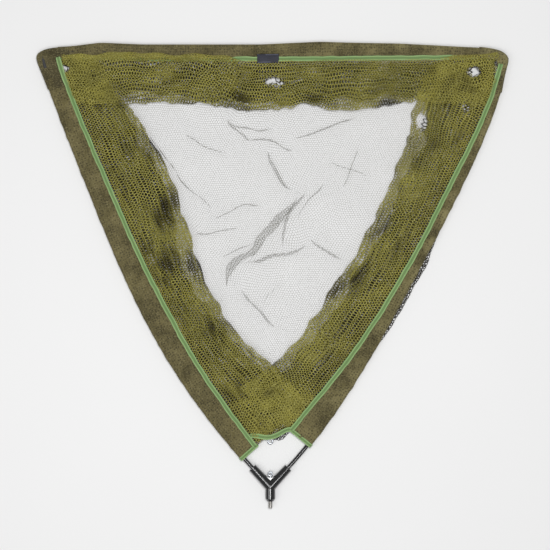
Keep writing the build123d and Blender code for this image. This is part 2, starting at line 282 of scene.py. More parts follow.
# --- Sizes and colours ---------------------------------------------------------------------------
class NetSizes(bpy.types.PropertyGroup):
    """Sizes of the fabric parts."""

    wall_pitch: bpy.props.FloatProperty(
        name="Wall mesh pitch", description="Distance between neighbouring holes in the walls",
        default=0.0063, min=0.003, max=0.02, unit="LENGTH")
    base_pitch: bpy.props.FloatProperty(
        name="Base mesh pitch", description="Distance between neighbouring holes in the base",
        default=0.0050, min=0.003, max=0.02, unit="LENGTH")
    wall_strand: bpy.props.FloatProperty(
        name="Wall strand", description="Width of a strand in the walls",
        default=0.00165, min=0.0003, max=0.003, unit="LENGTH")
    base_strand: bpy.props.FloatProperty(
        name="Base strand", description="Width of a strand in the base",
        default=0.00029, min=0.0002, max=0.003, unit="LENGTH")
    tape_width: bpy.props.FloatProperty(
        name="Tape width", description="Width of the rim tape",
        default=0.0105, min=0.005, max=0.03, unit="LENGTH")
    stitch_pitch: bpy.props.FloatProperty(
        name="Stitch pitch", description="Distance between stitches in the tape",
        default=0.0042, min=0.002, max=0.01, unit="LENGTH")
    thread_pitch: bpy.props.FloatProperty(
        name="Thread pitch", description="Distance between the stud's thread crests",
        default=0.00127, min=0.0005, max=0.003, unit="LENGTH")


def colour(name, about, code):
    """A colour property with an sRGB hex default."""
    return bpy.props.FloatVectorProperty(
        name=name, description=about, default=linear(code), size=4, min=0, max=1, subtype="COLOR")


class NetColours(bpy.types.PropertyGroup):
    """Colours of the materials."""

    sleeve: colour("Sleeve", "Knitted sleeve fabric", "#685F36")
    sleeve_dark: colour("Sleeve shade", "Worn and shaded parts of the sleeves", "#443D1C")
    netting: colour("Netting", "Strands of the walls", "#8A8334")
    # painted shade: the colour that the wall strands take low in the folds
    painted_shade_netting: colour("Deep netting", "Strands of the folds underneath", "#1C1703")
    base_net: colour("Base netting", "Strands of the base", "#45401A")
    tape_edge: colour("Tape edge", "Selvedges of the rim tape", "#98B878")
    tape_middle: colour("Tape middle", "Stitched middle of the rim tape", "#6C8850")
    plastic: colour("Block", "Moulded spreader block", "#090A0C")
    lacquer: colour("Arms", "Lacquered glass fibre", "#060607")
    label: colour("Label", "Woven label", "#23242F")


# --- Materials -----------------------------------------------------------------------------------
def put(tree, socket, value):
    """Links a node's input to another node's output, or sets it to a constant."""
    if isinstance(value, bpy.types.NodeSocket):
        tree.links.new(value, socket)
    else:
        socket.default_value = value


class Finish:
    """A node material in the making."""

    def __init__(self, name):
        self.material = bpy.data.materials.new(name)
        self.material.use_nodes = True
        self.tree = self.material.node_tree
        self.shader = self.tree.nodes["Principled BSDF"]

    def node(self, kind, settings=None, **inputs):
        """Adds a node; settings are its attributes, and inputs are values or sockets to link."""
        made = self.tree.nodes.new(kind)
        for key, value in (settings or {}).items():
            setattr(made, key, value)
        for key, value in inputs.items():
            numbered = key[0] == "i" and key[1:].isdigit()
            put(self.tree, made.inputs[int(key[1:]) if numbered else key.replace("_", " ")], value)
        return made

    def set(self, **inputs):
        for key, value in inputs.items():
            put(self.tree, self.shader.inputs[key.replace("_", " ")], value)
        return self.material

    def math(self, operation, first, second=0.0):
        return self.node("ShaderNodeMath", {"operation": operation}, i0=first, i1=second).outputs[0]

    def mix(self, share, first, second):
        made = self.node("ShaderNodeMix", {"data_type": "RGBA"})
        for index, value in ((0, share), (6, first), (7, second)):
            put(self.tree, made.inputs[index], value)
        return made.outputs[2]

    def place(self, metres):
        """Object coordinates in units of `metres`."""
        here = self.node("ShaderNodeTexCoord").outputs["Object"]
        return self.node("ShaderNodeMapping", None, Vector=here, Scale=[1 / metres] * 3).outputs[0]

    def cloth_place(self, across, lengthwise):
        """The piece's own UV map, which is in metres, in units of the two sizes."""
        here = self.node("ShaderNodeUVMap", {"uv_map": "UVMap"}).outputs[0]
        scale = [1 / across, 1 / lengthwise, 1]
        return self.node("ShaderNodeMapping", None, Vector=here, Scale=scale).outputs[0]

    def noise(self, metres, detail=3.0, roughness=0.55):
        made = self.node("ShaderNodeTexNoise", None, Vector=self.place(metres), Scale=1.0,
                         Detail=detail, Roughness=roughness)
        return made.outputs["Fac"]

    def ramp(self, value, low, high, low_out=0.0, high_out=1.0):
        made = self.node("ShaderNodeMapRange", {"clamp": True}, Value=value)
        for key, number in (("From Min", low), ("From Max", high), ("To Min", low_out), ("To Max", high_out)):
            made.inputs[key].default_value = number
        return made.outputs[0]

    def bump(self, height, depth, strength=1.0):
        return self.node("ShaderNodeBump", None, Height=height, Distance=depth, Strength=strength).outputs[0]


def knitted_sleeve(colours, name="warp_knit_polyester", shade=1.0):
    """Warp-knitted polyester with eyelets: matt olive, with rows of small dark holes and a soft sheen."""
    f = Finish(name)
    eyelet = 6 * MM  # 2 mm on the real cloth, too fine to show
    dots = f.node("ShaderNodeTexVoronoi", {"feature": "F1"}, Vector=f.cloth_place(eyelet, eyelet * 0.9),
                  Scale=1.0, Randomness=0.4).outputs["Distance"]
    holes = f.ramp(dots, 0.18, 0.40)
    rib = f.node("ShaderNodeTexWave", {"bands_direction": "X"}, Vector=f.cloth_place(6 * MM, 6 * MM),
                 Scale=1.0, Distortion=0.6).outputs["Fac"]
    patches = f.ramp(f.noise(0.05, 4), 0.34, 0.66)
    light, dark = [[c * shade for c in tone[:3]] + [1] for tone in (colours.sleeve, colours.sleeve_dark)]
    here = f.node("ShaderNodeTexCoord").outputs["Object"]
    across = f.node("ShaderNodeSeparateXYZ", None, Vector=here).outputs[0]
    # painted light: the sleeve colour is lightened towards the right, the side the light falls from
    painted_light_right = f.mix(f.ramp(across, 0.0, 0.34, 0, 0.55), light, linear("#8A8254"))
    cloth = f.mix(patches, dark, painted_light_right)
    speckle = f.mix(f.ramp(f.noise(2.6 * MM, 2), 0.52, 0.7, 0, 0.55), cloth, linear("#8E855E"))
    pierced = f.mix(f.math("MULTIPLY", f.math("SUBTRACT", 1.0, holes), 0.72), speckle, linear("#241F0C"))
    height = f.math("ADD", holes, f.math("MULTIPLY", rib, 0.4))
    f.shader.inputs["Sheen Weight"].default_value = 0.25
    f.shader.inputs["Sheen Roughness"].default_value = 0.5
    f.shader.inputs["Sheen Tint"].default_value = linear("#B5AC82")
    return f.set(Base_Color=pierced, Roughness=f.ramp(patches, 0, 1, 0.82, 0.68),
                 Normal=f.bump(height, 0.8 * MM, 0.8))


def netting(name, strand, deep):
    """Knotless knitted nylon netting: slightly glossy olive strands, with painted shade low in the folds and
    a painted highlight on the higher strands.

    The real pitch is about 5 mm; the walls are drawn coarser, with wider strands, so that they show."""
    f = Finish(name)
    twist = f.node("ShaderNodeTexNoise", None, Vector=f.place(1.8 * MM), Scale=1.0, Detail=1.0).outputs["Fac"]
    here = f.node("ShaderNodeTexCoord").outputs["Object"]
    height = f.node("ShaderNodeSeparateXYZ", None, Vector=here).outputs[2]
    # painted shade: the strands are painted darker the lower they lie in the folds
    low = f.mix(f.ramp(height, 0.4 * MM, 5.0 * MM), deep, strand)
    broad = f.mix(f.ramp(f.noise(0.05, 3), 0.35, 0.68, 0.0, 0.35), low, deep)
    # painted highlight: a pale glint on the strands, stronger the higher they lie
    painted_glint = f.math("MULTIPLY", f.ramp(twist, 0.45, 0.7, 0, 0.6), f.ramp(height, 1.5 * MM, 5 * MM))
    light = f.mix(painted_glint, broad,
                  linear("#BFBC74"))
    f.shader.inputs["Specular IOR Level"].default_value = 0.22
    return f.set(Base_Color=light, Roughness=f.ramp(twist, 0.2, 0.8, 0.62, 0.45))


def woven_tape(colours, name="herringbone_tape"):
    """Woven binding tape: bright selvedges and a darker middle that the stitching pulls down."""
    f = Finish(name)
    here = f.node("ShaderNodeUVMap", {"uv_map": "UVMap"}).outputs[0]
    across = f.node("ShaderNodeSeparateXYZ", None, Vector=here).outputs[0]
    middle = f.math("ABSOLUTE", f.math("SUBTRACT", across, 0.5))
    edges = f.ramp(middle, 0.17, 0.29)
    weave = f.node("ShaderNodeTexWave", {"bands_direction": "DIAGONAL"}, Vector=f.place(1.5 * MM),
                   Scale=1.0, Distortion=1.0).outputs["Fac"]
    patches = f.ramp(f.noise(0.05, 3), 0.35, 0.7)
    tone = f.mix(edges, colours.tape_middle, colours.tape_edge)
    worn = f.mix(f.math("MULTIPLY", patches, 0.3), tone, linear("#5C8A4C"))
    thread = f.mix(f.math("MULTIPLY", weave, 0.22), worn, linear("#3F5C30"))
    f.shader.inputs["Sheen Weight"].default_value = 0.2
    return f.set(Base_Color=thread, Roughness=f.ramp(weave, 0, 1, 0.8, 0.6),
                 Normal=f.bump(weave, 0.3 * MM, 0.6))


def stitch_thread(colours):
    """Spun polyester sewing thread: pale green, slightly shiny."""
    f = Finish("polyester_thread")
    twist = f.noise(0.8 * MM, 1)
    tone = f.mix(twist, colours.tape_middle, linear("#A3BE84"))
    return f.set(Base_Color=tone, Roughness=f.ramp(twist, 0.3, 0.7, 0.65, 0.45))


def woven_cloth(name, tone, other, cell=1.2 * MM, rough=0.85):
    """Plain-woven polyester: matt, with a fine basket of threads."""
    f = Finish(name)
    checks = f.node("ShaderNodeTexChecker", None, Vector=f.place(cell), Scale=1.0).outputs["Fac"]
    patches = f.ramp(f.noise(0.03, 4), 0.3, 0.7)
    blend = f.mix(patches, tone, other)
    thread = f.mix(f.math("MULTIPLY", checks, 0.3), blend, [c * 0.45 for c in tone[:3]] + [1])
    return f.set(Base_Color=thread, Roughness=f.ramp(checks, 0, 1, rough, rough - 0.15),
                 Normal=f.bump(checks, 0.25 * MM, 0.6))


def moulded_plastic(name, tone, rough, scratch=0.12):
    """Injection-moulded ABS or nylon: smooth, dark and glossy, with light handling marks."""
    f = Finish(name)
    grain = f.noise(1.2 * MM, 2)
    marks = f.ramp(f.noise(9 * MM, 5, 0.7), 0.45, 0.75)
    tint = f.mix(f.math("MULTIPLY", marks, 0.25), tone, [c + 0.02 for c in tone[:3]] + [1])
    level = f.ramp(marks, 0, 1, rough, rough + scratch)
    return f.set(Base_Color=tint, Roughness=level, Normal=f.bump(grain, 0.02 * MM, 0.1), IOR=1.5,
                 Coat_Weight=1.0, Coat_Roughness=0.05)


def bare_metal(name, tone, rough, turned=0.6 * MM):
    """Turned or plated steel: grey and bright, with fine tool marks."""
    f = Finish(name)
    marks = f.node("ShaderNodeTexNoise", None, Vector=f.place(turned), Scale=1.0, Detail=3.0).outputs["Fac"]
    stain = f.ramp(f.noise(4 * MM, 4), 0.4, 0.75)
    tint = f.mix(f.math("MULTIPLY", stain, 0.35), tone, [c * 0.6 for c in tone[:3]] + [1])
    return f.set(Base_Color=tint, Metallic=1.0, Roughness=f.ramp(marks, 0.2, 0.8, rough, rough + 0.2),
                 Normal=f.bump(marks, 0.05 * MM, 0.4))


MADE = {}


def materials():
    """All the finishes, made once."""
    if not MADE:
        colours = bpy.context.scene.net_colours
        MADE.update(
            sleeve=knitted_sleeve(colours),
            wall=netting("knotless_nylon_walls", list(colours.netting), list(colours.painted_shade_netting)),
            base=netting("knotless_nylon_base", list(colours.base_net), list(colours.base_net)),
            tape=woven_tape(colours),
            thread=stitch_thread(colours),
            pocket=knitted_sleeve(colours, "warp_knit_corner", 0.72),
            label=woven_cloth("satin_label", list(colours.label), linear("#30313F"), 0.7 * MM, 0.7),
            label_edge=woven_cloth("satin_label_border", linear("#5B5D6C"), linear("#6E7080"), 0.7 * MM, 0.7),
            block=moulded_plastic("moulded_nylon_block", list(colours.plastic), 0.14),
            arm=moulded_plastic("lacquered_glass_fibre", list(colours.lacquer), 0.08, 0.06),
            cap=moulded_plastic("moulded_rubber_cap", linear("#1C1C1C"), 0.6),
            stud=bare_metal("turned_steel", linear("#C6C4C0"), 0.24),
            eye=bare_metal("zinc_plated_steel", linear("#B4B8BE"), 0.22),
            plug=bare_metal("turned_aluminium", linear("#C9CACC"), 0.3),
            cord=woven_cloth("braided_polyester_cord", linear("#1D1E20"), linear("#2C2D30"), 1.0 * MM),
        )
    return MADE


# --- Geometry Nodes ------------------------------------------------------------------------------
class Tree:
    """A Geometry Nodes group in the making, with named inputs."""

    def __init__(self, name, **numbers):
        self.group = bpy.data.node_groups.new(name, "GeometryNodeTree")
        self.group.interface.new_socket("Geometry", in_out="INPUT", socket_type="NodeSocketGeometry")
        self.sockets = {}
        for key, value in numbers.items():
            kind = "NodeSocketMaterial" if value is None else "NodeSocketFloat"
            socket = self.group.interface.new_socket(key, in_out="INPUT", socket_type=kind)
            self.sockets[key] = socket.identifier
            if value is not None:
                socket.default_value = value
        self.group.interface.new_socket("Geometry", in_out="OUTPUT", socket_type="NodeSocketGeometry")
        self.start = self.group.nodes.new("NodeGroupInput")
        self.end = self.group.nodes.new("NodeGroupOutput")

    def node(self, kind, settings=None, links=None):
        made = self.group.nodes.new(kind)
        for key, value in (settings or {}).items():
            setattr(made, key, value)
        for key, value in (links or {}).items():
            put(self.group, made.inputs[key], value)
        return made

    def close(self, geometry):
        real = self.node("GeometryNodeRealizeInstances", None, {"Geometry": geometry})
        dyed = self.node("GeometryNodeSetMaterial", None, {
            "Geometry": real.outputs[0], "Material": self.start.outputs["Material"]})
        self.group.links.new(dyed.outputs[0], self.end.inputs[0])

    def apply(self, carrier, name, **values):
        """Runs the tree on an object and returns the result as a plain mesh object."""
        modifier = carrier.modifiers.new("tree", "NODES")
        modifier.node_group = self.group
        for key, value in values.items():
            modifier[self.sockets[key]] = value
        bpy.context.view_layer.update()
        seen = carrier.evaluated_get(bpy.context.evaluated_depsgraph_get())
        mesh = bpy.data.meshes.new_from_object(seen)
        mesh.name = name
        bpy.data.objects.remove(carrier)
        made = bpy.data.objects.new(name, mesh)
        bpy.context.scene.collection.objects.link(made)
        return made


def net_tree():
    """Turns a triangulated sheet into netting: a hexagon round each point, with its middle cut out.

    A strand is half a rim from the cell at each side of it, and slopes down to both holes."""
    tree = Tree("netting", Hole=0.8, Rise=0.0004, Material=None)
    cells = tree.node("GeometryNodeDualMesh", None, {"Mesh": tree.start.outputs["Geometry"]})
    pushed = tree.node("GeometryNodeExtrudeMesh", {"mode": "FACES"}, {
        "Mesh": cells.outputs[0], "Offset Scale": 0.0, "Individual": True})
    down = tree.node("ShaderNodeMath", {"operation": "MULTIPLY"}, {0: tree.start.outputs["Rise"], 1: -1.0})
    tree.group.links.new(down.outputs[0], pushed.inputs["Offset Scale"])
    holes = tree.node("GeometryNodeScaleElements", {"domain": "FACE"}, {
        "Geometry": pushed.outputs["Mesh"], "Selection": pushed.outputs["Top"],
        "Scale": tree.start.outputs["Hole"]})
    cut = tree.node("GeometryNodeDeleteGeometry", {"domain": "FACE"}, {
        "Geometry": holes.outputs[0], "Selection": pushed.outputs["Top"]})
    tree.close(cut.outputs[0])
    return tree


def stitch_tree():
    """Lays one short stitch at each step of a line."""
    tree = Tree("stitches", Pitch=0.0042, Length=0.0026, Thickness=0.0008, Material=None)
    line = tree.node("GeometryNodeMeshToCurve", None, {"Mesh": tree.start.outputs["Geometry"]})
    spots = tree.node("GeometryNodeCurveToPoints", {"mode": "LENGTH"}, {
        "Curve": line.outputs[0], "Length": tree.start.outputs["Pitch"]})
    ball = tree.node("GeometryNodeMeshUVSphere", None, {"Segments": 6, "Rings": 4, "Radius": 0.5})
    size = tree.node("ShaderNodeCombineXYZ", None, {
        "X": tree.start.outputs["Thickness"], "Y": tree.start.outputs["Thickness"],
        "Z": tree.start.outputs["Length"]})
    laid = tree.node("GeometryNodeInstanceOnPoints", None, {
        "Points": spots.outputs["Points"], "Instance": ball.outputs["Mesh"],
        "Rotation": spots.outputs["Rotation"], "Scale": size.outputs[0]})
    tree.close(laid.outputs[0])
    return tree


TREES = {}


def trees():
    if not TREES:
        TREES.update(net=net_tree(), stitches=stitch_tree())
    return TREES


def stitched(name, lines, body):
    """Rows of stitches along lines of points, on one body."""
    points, edges = [], []
    for line in lines:
        first = len(points)
        points.extend(tuple(p) for p in line)
        edges.extend((i, i + 1) for i in range(first, len(points) - 1))
    mesh = bpy.data.meshes.new(name)
    mesh.from_pydata(points, edges, [])
    carrier = bpy.data.objects.new(name + "_line", mesh)
    bpy.context.scene.collection.objects.link(carrier)
    sizes = bpy.context.scene.net_sizes
    made = trees()["stitches"].apply(
        carrier, name, Pitch=sizes.stitch_pitch, Length=sizes.stitch_pitch * 0.62,
        Thickness=0.9 * MM, Material=materials()["thread"])
    return finish_piece(made, body, None)


def stitched_across(name, lines, body, start, end):
    """Rows of stitches on a tape that runs from the middle to one side; they are left on no body."""
    made = stitched(name, lines, "spreader")
    made.parent = None
    del made["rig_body"]
    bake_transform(made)


# --- Netting -------------------------------------------------------------------------------------
def lattice(width, length, pitch):
    """A triangular lattice over a rectangle: its points (n, 2) and its triangles."""
    cols, rows = int(width / pitch) + 2, int(length / pitch / HEX_ROW) + 2
    r, c = np.meshgrid(np.arange(rows), np.arange(cols), indexing="ij")
    points = np.stack([(c + 0.5 * (r % 2)) * pitch, r * pitch * HEX_ROW], axis=-1).reshape(-1, 2)
    r, c = np.meshgrid(np.arange(rows - 1), np.arange(cols - 1), indexing="ij")
    low, high = r * cols + c, (r + 1) * cols + c
    even = (r % 2 == 0)[..., None]
    first = np.where(even, np.stack([low, low + 1, high], -1), np.stack([low, high + 1, high], -1))
    second = np.where(even, np.stack([low + 1, high + 1, high], -1), np.stack([low, low + 1, high + 1], -1))
    return points, np.concatenate([first.reshape(-1, 3), second.reshape(-1, 3)])


def net_piece(name, points, triangles, chosen, pitch, strand, material, rise=0.35 * MM):
    """Netting over the chosen points of a triangulated sheet, one hole for each point."""
    triangles = triangles[chosen[triangles].any(1)]
    used = np.unique(triangles)
    new_index = np.zeros(len(points), int)
    new_index[used] = np.arange(len(used))
    carrier = new_object(name + "_sheet", points[used], new_index[triangles])
    return trees()["net"].apply(carrier, name, Hole=1 - strand / pitch, Rise=rise, Material=material)


def folded(share, turns, levels, soft=5 * MM):
    """Where points lie that are `share` of the way down a folded strip.

    turns are the distances from the rim where the cloth turns back, and levels the height of each
    leg between them. Gives the distance from the rim, the height and the number of the leg."""
    legs = np.abs(np.diff(turns, axis=0)) + 1e-6
    run = share * legs.sum(0)
    across, start = turns[0] + 0 * share, 0 * share
    height, leg_number = levels[0] + 0 * share, np.zeros(len(share), int)
    for i, leg in enumerate(legs):
        t = (run - start) / leg
        across = np.where(t >= 0, turns[i] + (turns[i + 1] - turns[i]) * np.clip(t, 0, 1), across)
        leg_number = np.where(t > 0, i, leg_number)
        start = start + leg
        if i + 1 < len(legs):
            height = height + (levels[i + 1] - levels[i]) * smooth((run - start + soft) / (2 * soft))
    return across, height, leg_number


# Gaps where the walls have slid apart: centre, and how far they open along X and Y
GAPS = (
    (0.010, 0.923, 0.018, 0.008), (0.448, 0.947, 0.013, 0.010), (0.334, 0.835, 0.009, 0.018),
    (-0.258, 0.968, 0.017, 0.003), (-0.455, 0.953, 0.011, 0.006), (0.430, 0.872, 0.004, 0.014),
    (0.498, 0.950, 0.005, 0.020), (-0.276, 0.899, 0.008, 0.003),
)


def part_round(points, seed):
    """Pushes netting aside from each gap, and gives which points are left; the rest would span it."""
    draw = np.random.default_rng(seed)
    kept = np.ones(len(points), bool)
    for x, y, wide, tall in GAPS:
        slant = draw.uniform(-0.15, 0.15)
        dx, dy = points[:, 0] - x, points[:, 1] - y
        dx, dy = (dx + slant * dy) / wide, (dy - slant * dx) / tall
        far = np.sqrt(dx * dx + dy * dy) + 1e-6
        kept &= far > 0.75
        pushed = np.where(far < 4, far + np.exp(-far / 1.3), far)
        points[:, 0] += dx * (pushed / far - 1) * wide
        points[:, 1] += dy * (pushed / far - 1) * tall
    return points, kept


def crumple(run, depth, seed, height, gather):
    """Rumples netting: long folds that run with the rim, and cells crowded on their crests."""
    def field(run, depth):
        streaks = waves(run * 0.38, depth, seed, 0.080, 0.022, 18, math.pi / 2, 0.85)
        swags = waves(run * 0.8, depth * 0.9, seed + 7, 0.160, 0.060, 8)
        return 1.0 - 1.25 * np.abs(streaks) + 0.55 * swags

    step = 1 * MM
    here = field(run, depth)
    by_run, by_depth = (field(run + step, depth) - here) / step, (field(run, depth + step) - here) / step
    return height * (here - 0.25), -gather * np.clip(by_run, -90, 90), gather * np.clip(by_depth, -90, 90)


def limit(values, cap, soft=3 * MM):
    """Values held softly below a cap."""
    return cap - soft * np.logaddexp(0, (cap - values) / soft)


SIDE_LEVELS = np.array([4.6, 1.2, -3.2, -7.2]) * MM
TOP_LEVELS = np.array([4.0, 5.6, 1.0, -3.4, -7.2]) * MM
WALL_DEPTH = 0.47


def side_wall(name, side):
    """One side's wall: hung from the tape, folded in to the base, out and in again, then out to its seam."""
    arm, sizes = ARMS[name], bpy.context.scene.net_sizes
    first, last = CUFF_RUN[name] - 0.004, arm.length + 0.004
    uv, triangles = lattice(last - first, WALL_DEPTH, sizes.wall_pitch)
    run = first + uv[:, 0]
    share = np.clip(uv[:, 1] / WALL_DEPTH, 0, 1)
    band = along(BAND_WIDTH[name], run, 0.03)
    wander = waves(run, 0 * run, 11 + side, 0.22, 0.05, 8)
    ripple = waves(run, 0 * run, 31 + side, 0.09, 0.03, 8)
    short = band - (0.028 + 0.012 * wander)
    rest = 1 * MM + 0 * run
    slip = 0 * run
    if name == "right":
        # The folds underneath have slipped out below this side's sleeve
        slip = along(((0.10, -0.01), (0.30, -0.01), (0.36, 0.006), (0.46, 0.010), (0.52, 0.016),
                      (0.58, 0.014), (0.66, 0.006), (0.70, -0.01), (1.0, -0.01)), run)
        beyond = -(tape_inset(name, run) + 6.8 * MM + slip + 2.5 * MM * ripple)
        rest = rest + (beyond - rest) * smooth((slip + 2 * MM) / (6 * MM))
    turns = np.stack([0 * run, band + 3 * MM * ripple, rest, short, 4 * MM + 0 * run])
    across, height, leg = folded(share, turns, SIDE_LEVELS)
    rise, slide, push = crumple(run, share * WALL_DEPTH, 50 + side, 2.9 * MM, 0.05 * MM)
    calm = smooth(across / 0.022)
    inset = across + push * calm
    shear = 0.34 * smooth((run - (arm.length - 0.30)) / 0.26)
    place = run + slide * calm - shear * np.maximum(inset, 0)
    plan = arm.at(place, tape_inset(name, place) + TAPE_HALF * 0.3 + inset)
    out = smooth((-across - 1 * MM) / (9 * MM))
    height = (height + rise * calm) * (1 - out) + (GROUND + 2.4 * MM + 0.8 * MM * ripple) * out
    points = np.column_stack([plan, height])
    points[:, 1] = limit(points[:, 1], TAPE_LINE_Y - 2 * MM)
    points, kept = part_round(points, 5 + side)
    points[:, 2] = np.clip(points[:, 2], GROUND + 0.6 * MM, 12 * MM)
    return points, triangles, np.where(kept, leg, -1), last - first


def rim_x(name, y):
    """Where the net side of a side tape lies at a height up the net."""
    arm = ARMS[name]
    runs = np.linspace(0.3, arm.length, 200)
    line = arm.at(runs, tape_inset(name, runs) + TAPE_HALF * 0.7)
    return np.interp(y, line[:, 1], line[:, 0])


def top_wall():
    """The far wall, which has flopped back over the tape near both corners before it folds in."""
    sizes = bpy.context.scene.net_sizes
    left, right = (float(rim_x(name, TAPE_LINE_Y)) for name, _ in SIDES)
    depth = 0.46
    uv, triangles = lattice(right - left, depth, sizes.wall_pitch)
    x = left + uv[:, 0]
    share = np.clip(uv[:, 1] / depth, 0, 1)
    flap = along(((-0.50, 0.010), (-0.44, 0.018), (-0.30, 0.021), (-0.20, 0.020), (-0.10, 0.016),
                  (-0.065, 0.002), (0.36, 0.0), (0.41, 0.009), (0.47, 0.012), (0.51, 0.010)), x, 0.02)
    flap = flap * (1 + 0.22 * waves(x, 0 * x, 77, 0.10, 0.03, 8))
    lobes = along(((-0.48, 0.088), (-0.36, 0.096), (-0.22, 0.090), (-0.12, 0.098), (-0.05, 0.112),
                   (0.03, 0.110), (0.08, 0.100), (0.14, 0.114), (0.19, 0.115), (0.25, 0.102),
                   (0.33, 0.096), (0.50, 0.110)), x, 0.018)
    lobes = lobes + 2 * MM * waves(x, 0 * x, 79, 0.05, 0.02, 8)
    short = lobes - 0.016 - 0.010 * waves(x, 0 * x, 78, 0.20, 0.06, 6)
    over = smooth(flap / (8 * MM))
    rest = 3 * MM - over * (flap + 1 * MM)
    turns = np.stack([0 * x, -flap, lobes, rest, short, 0.012 + 0 * x])
    across, height, _ = folded(share, turns, TOP_LEVELS)
    rise, slide, push = crumple(x, share * depth, 90, 2.9 * MM, 0.05 * MM)
    calm = smooth((across + flap) / 0.03) * 0.85 + 0.15
    across = across + push * calm
    y = TAPE_LINE_Y - TAPE_HALF * 0.6 + 3 * MM * np.sin(x * 5) - across
    x = x + slide * calm
    low, high = rim_x("left", y), rim_x("right", y)
    x = -limit(-x, -low)
    x = limit(x, high)
    out = smooth((y - TAPE_LINE_Y + 7 * MM) / (5 * MM))
    lifted = 2.4 * MM + (height - TOP_LEVELS[-1]) * 0.25
    height = (height + rise * calm) * (1 - out) + (lifted + 0.35 * rise) * out
    points, kept = part_round(np.column_stack([x, y, height]), 3)
    points[:, 2] = np.clip(points[:, 2], GROUND + 0.6 * MM, 12 * MM)
    return points, triangles, kept


def front_wall():
    """The little wall at the near end, hung from the front tape and fanned out under the side walls."""
    sizes = bpy.context.scene.net_sizes
    line = front_tape_line()
    step = np.concatenate([[0], np.cumsum(np.linalg.norm(np.diff(line, axis=0), axis=1))])
    depth = 0.30
    uv, triangles = lattice(0.150, depth, sizes.wall_pitch)
    share = np.clip(uv[:, 1] / depth, 0, 1)
    t = np.clip(uv[:, 0] / 0.150, 0, 1)
    start = np.column_stack([np.interp(t * step[-1], step, line[:, k]) for k in (0, 1)])
    hang = 0.013 * smooth((t - 0.45) / 0.2) * smooth((0.98 - t) / 0.15) + 1 * MM
    hang = hang * (1 + 0.25 * waves(t * 0.1, 0 * t, 131, 0.03, 0.01, 6))
    turns = np.stack([3 * MM + 0 * t, 0.085 + 0.01 * np.sin(t * 9), -hang - TAPE_HALF, 0.075 + 0 * t,
                      0.02 + 0 * t])
    across, height, _ = folded(share, turns, np.array([3.6, -1.0, -4.5, -8.0]) * MM)
    rise, slide, push = crumple(t * 0.15, share * depth, 140, 2.4 * MM, 0.05 * MM)
    calm = smooth(across / 0.02)
    fan = (t - 0.5) * 1.5
    way = np.column_stack([np.sin(fan), np.cos(fan)])
    side = np.column_stack([np.cos(fan), -np.sin(fan)])
    straight = smooth(-across / (4 * MM))[:, None]
    way = way * (1 - straight) + np.array([0.0, 1.0]) * straight
    plan = start + way * (across + push * calm)[:, None] + side * (slide * calm)[:, None]
    out = smooth((-across + 2 * MM) / (7 * MM))
    height = (height + rise * calm) * (1 - out) + (-3.5 * MM - 0.5 * (hang - 1 * MM) + 0.2 * rise) * out
    return np.column_stack([plan, np.clip(height, GROUND + 0.6 * MM, 10 * MM)]), triangles


# Creases of the base, as places across and up its box: from, to, cloth taken up, fold width
CREASES = (
    ((0.10, 0.90), (0.30, 0.70), 0.008, 0.006),
    ((0.30, 0.60), (0.52, 0.63), 0.010, 0.008),
    ((0.44, 0.30), (0.56, 0.14), 0.012, 0.009),
    ((0.74, 0.72), (0.66, 0.50), 0.010, 0.008),
    ((0.84, 0.86), (0.76, 0.66), 0.009, 0.007),
    ((0.24, 0.92), (0.40, 0.80), 0.008, 0.005),
    ((0.34, 0.42), (0.48, 0.52), 0.009, 0.007),
    ((0.62, 0.67), (0.38, 0.27), 0.030, 0.014),
    ((0.65, 0.68), (0.60, 0.44), 0.016, 0.010),
    ((0.47, 0.36), (0.71, 0.475), 0.018, 0.010),
    ((0.70, 0.475), (0.80, 0.40), 0.012, 0.008),
    ((0.39, 0.97), (0.48, 0.85), 0.012, 0.006),
    ((0.52, 0.83), (0.62, 0.67), 0.014, 0.007),
    ((0.40, 0.96), (0.56, 0.90), 0.009, 0.005),
    ((0.46, 0.88), (0.64, 0.83), 0.010, 0.005),
    ((0.60, 0.88), (0.85, 0.925), 0.010, 0.005),
    ((0.25, 0.525), (0.45, 0.55), 0.008, 0.005),
    ((0.20, 0.75), (0.36, 0.62), 0.006, 0.005),
    ((0.72, 0.80), (0.90, 0.70), 0.007, 0.005),
    ((0.50, 0.20), (0.62, 0.33), 0.007, 0.005),
)
BASE_BOX = ((-0.352, 0.289), (0.310, 0.883))


